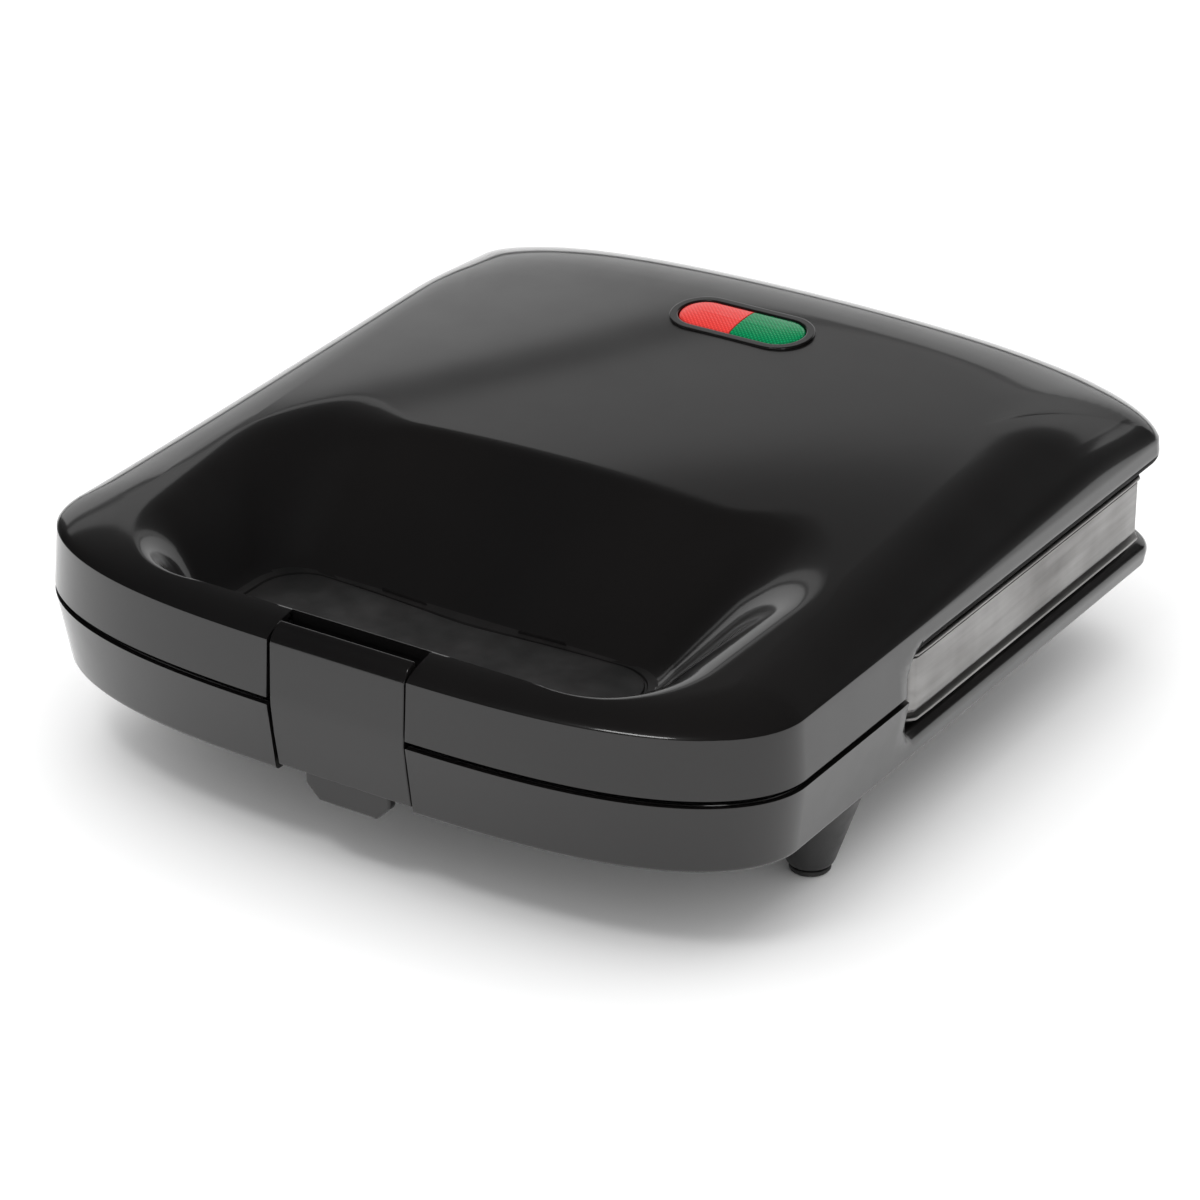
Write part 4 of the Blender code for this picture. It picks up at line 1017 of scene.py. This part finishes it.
def make_upper_plate():
    """The upper plate's face looks down; its skirt runs from bead to bead past the face."""
    room = 0.0008
    half, front, back = UPPER_HIGH.x - room, UPPER_LOW.y + room, UPPER_HIGH.y - room
    low, high = UPPER_LOW.z, 0.0590
    face = [(0.0060, UPPER_FACE_Z), (0.0040, UPPER_FACE_Z - 0.0002), (0.0030, UPPER_FACE_Z - 0.0012),
            (0.0026, UPPER_FACE_Z - 0.0030), (0.0022, low + 0.0020), (0.0018, low + 0.0006)]
    bead = bead_rows(low + 0.0009, 0.0009, -90, 90)
    groove = [(0.0007, low + 0.0021), (0.0007, low + 0.0026), (0.0, low + 0.0032)]
    wall = [(0.0, low + (high - 0.0020 - low - 0.0030) * share + 0.0030) for share in (0.3, 0.6, 1.0)]
    upper = [(0.0006, high - 0.0018), (0.0006, high - 0.0014)] + bead_rows(high - 0.0006, 0.0007, -90, 90)
    return make_plate("upper_plate_casting", half, front, back, UPPER_FACE_Z, 1,
                      face + bead + groove + wall + upper)


def bead_rows(centre_z, radius, start, end, steps=6):
    """A round bead that stands proud of the skirt."""
    rows = []
    for i in range(steps + 1):
        turn = math.radians(start + (end - start) * i / steps)
        rows.append((-radius * math.cos(turn), centre_z + radius * math.sin(turn)))
    return rows


def make_lower_plate():
    """The lower plate's face looks up; its plain skirt hangs below."""
    half, front, back = LOWER_HIGH.x, LOWER_LOW.y, LOWER_HIGH.y
    skirt = [(0.0030, LOWER_FACE_Z), (0.0012, LOWER_FACE_Z), (0.0004, LOWER_FACE_Z - 0.0004),
             (0.0, LOWER_FACE_Z - 0.0012), (0.0, LOWER_FACE_Z - 0.006), (0.0, 0.0362)]
    return make_plate("lower_plate_casting", half, front, back, LOWER_FACE_Z, -1, skirt)


# Build the pieces, hang each on its body and hide the nodes it stands for

def place_piece(piece, body, slot, *nodes):
    """Hang a piece on its body and hide the nodes that it stands for; slot is not used."""
    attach(piece, body)
    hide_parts(*nodes)


place_piece(make_lid_shell(), "lid", "gloss_black", "upper_cover")
place_piece(make_pocket("latch_pocket", LID_BOTTOM_Z + 0.0004, 0.0690, CHANNEL_BACK_Y),
            "lid", "gloss_black", "upper_cover")
place_piece(make_bezel(), "lid", "gloss_black", "indicator_bezel")
place_piece(make_lens("red_window", -1, RED), "lid", "red_lens", "red_lens")
place_piece(make_lens("green_window", 1, GREEN), "lid", "green_lens", "green_lens")
place_piece(make_upper_plate(), "lid", "nonstick", "upper_plate")
place_piece(make_base_shell(), "base", "gloss_black", "base_housing")
place_piece(make_pocket("base_pocket", BASE_BOTTOM_Z + 0.0004, 0.0464, BASE_CHANNEL_BACK_Y),
            "base", "gloss_black", "base_housing")
place_piece(make_lower_plate(), "base", "nonstick", "lower_plate")
for make in (make_latch, make_latch_fittings, make_latch_tab):
    place_piece(make(), "latch", "gloss_black", "latch")
for corner in ("front_left", "front_right", "rear_left", "rear_right"):
    place_piece(make_foot(corner + "_foot"), "base", "satin_black", corner + "_foot")
    place_piece(make_pad(corner + "_foot_pad"), "base", "rubber_black", corner + "_foot_pad")

# CAD nodes that stay, with their finishes

FINISHES = {
    SATIN: ("base_frame", "lid_front_liner", "lid_hinge_frame", "lamp_holder"),
    RUBBER: ("cord_inlet_bush",),
    ZINC: ("hinge_pin_left", "hinge_pin_right", "latch_pin", "latch_spring", "thermal_fuse"),
    SHEATH: ("lower_heating_element", "upper_heating_element"),
    TINPLATE: ("lower_heat_shield", "upper_heat_shield", "thermostat_bracket"),
    PHENOLIC: ("thermostat",),
    NYLON: ("terminal_block",),
    RED_GLASS: ("red_lamp",),
    GREEN_GLASS: ("green_lamp",),
}


def repaint(node, material):
    """Give a node that stays its finish."""
    made = frame["nodes"][node]
    made.data.materials.clear()
    made.data.materials.append(material)


for material, nodes in FINISHES.items():
    for node in nodes:
        repaint(node, material)
for node in frame["nodes"]:
    if "_screw_" in node:
        repaint(node, ZINC)


# Floor, light and camera

def make_floor():
    """A pale plain floor, just under the pads."""
    bm = bmesh.new()
    bmesh.ops.create_grid(bm, x_segments=1, y_segments=1, size=6.0)
    paper = Finish("pale_paper", (0.9, 0.9, 0.9), 0.9)
    tone = paper.blend(paper.between(paper.noise(3.0), 0.0, 1.0), (0.90, 0.90, 0.90), (0.92, 0.92, 0.92))
    paper.shader.inputs["Specular IOR Level"].default_value = 0.0
    floor = mesh_object("floor", bm, paper.paint(tone), outward=(0, 0, 1))
    floor.location.z = -0.0002


def softbox(name, place, target, size, power):
    """A rectangular lamp at a place, turned towards a target."""
    data = bpy.data.lights.new(name, "AREA")
    data.shape = "RECTANGLE"
    data.size, data.size_y = size
    data.energy = power
    lamp = bpy.data.objects.new(name, data)
    bpy.context.scene.collection.objects.link(lamp)
    lamp.location = place
    lamp.rotation_euler = (Vector(place) - Vector(target)).to_track_quat("Z", "Y").to_euler()
    return lamp


def make_light():
    """A white surround that lights the floor evenly, and a bank of soft boxes behind."""
    world = bpy.data.worlds.new("studio")
    bpy.context.scene.world = world
    world.use_nodes = True
    world.node_tree.nodes["Background"].inputs["Color"].default_value = (1, 1, 1, 1)
    world.node_tree.nodes["Background"].inputs["Strength"].default_value = 0.9
    world.cycles_visibility.glossy = False
    overhead = softbox("overhead", (0.0, 0.0, 2.2), (0, 0, 0), (3.0, 3.0), 28)
    overhead.visible_glossy = False
    softbox("rear_box", (-0.75, 2.10, 0.72), (0, 0.05, 0.08), (4.4, 1.05), 13.5)
    softbox("rear_fade", (-0.85, 1.80, 1.36), (0, 0.05, 0.08), (4.0, 0.22), 1.6)
    softbox("right_box", (1.5, -1.7, 0.35), (0.08, -0.10, 0.06), (0.5, 0.5), 3)
    softbox("top_box", (0.02, -0.89, 1.46), (0.08, -0.11, 0.07), (0.5, 0.22), 4.0)


def make_camera():
    """Seen from the front right, looking down: the angles of the reference view."""
    azimuth, elevation, distance = math.radians(33.81), math.radians(26.67), 1.2206
    target = Vector((0.0, FRONT_Y + 0.100, 0.050))
    back = Vector((math.sin(azimuth) * math.cos(elevation),
                   -math.cos(azimuth) * math.cos(elevation), math.sin(elevation)))
    right = Vector((math.cos(azimuth), math.sin(azimuth), 0.0))
    roll = Matrix.Rotation(math.radians(-0.43), 3, back)
    right = roll @ right
    up = back.cross(right)
    data = bpy.data.cameras.new("camera")
    data.sensor_width = 36.0
    data.lens = 130.13
    camera = bpy.data.objects.new("camera", data)
    bpy.context.scene.collection.objects.link(camera)
    camera.location = target + back * distance
    camera.rotation_euler = Matrix((right, up, back)).transposed().to_euler()
    data.shift_x, data.shift_y = 0.04654, -0.01605
    data.clip_start, data.clip_end = 0.05, 30.0
    bpy.context.scene.camera = camera


make_floor()
make_light()
make_camera()
bpy.context.scene.view_settings.view_transform = "Standard"
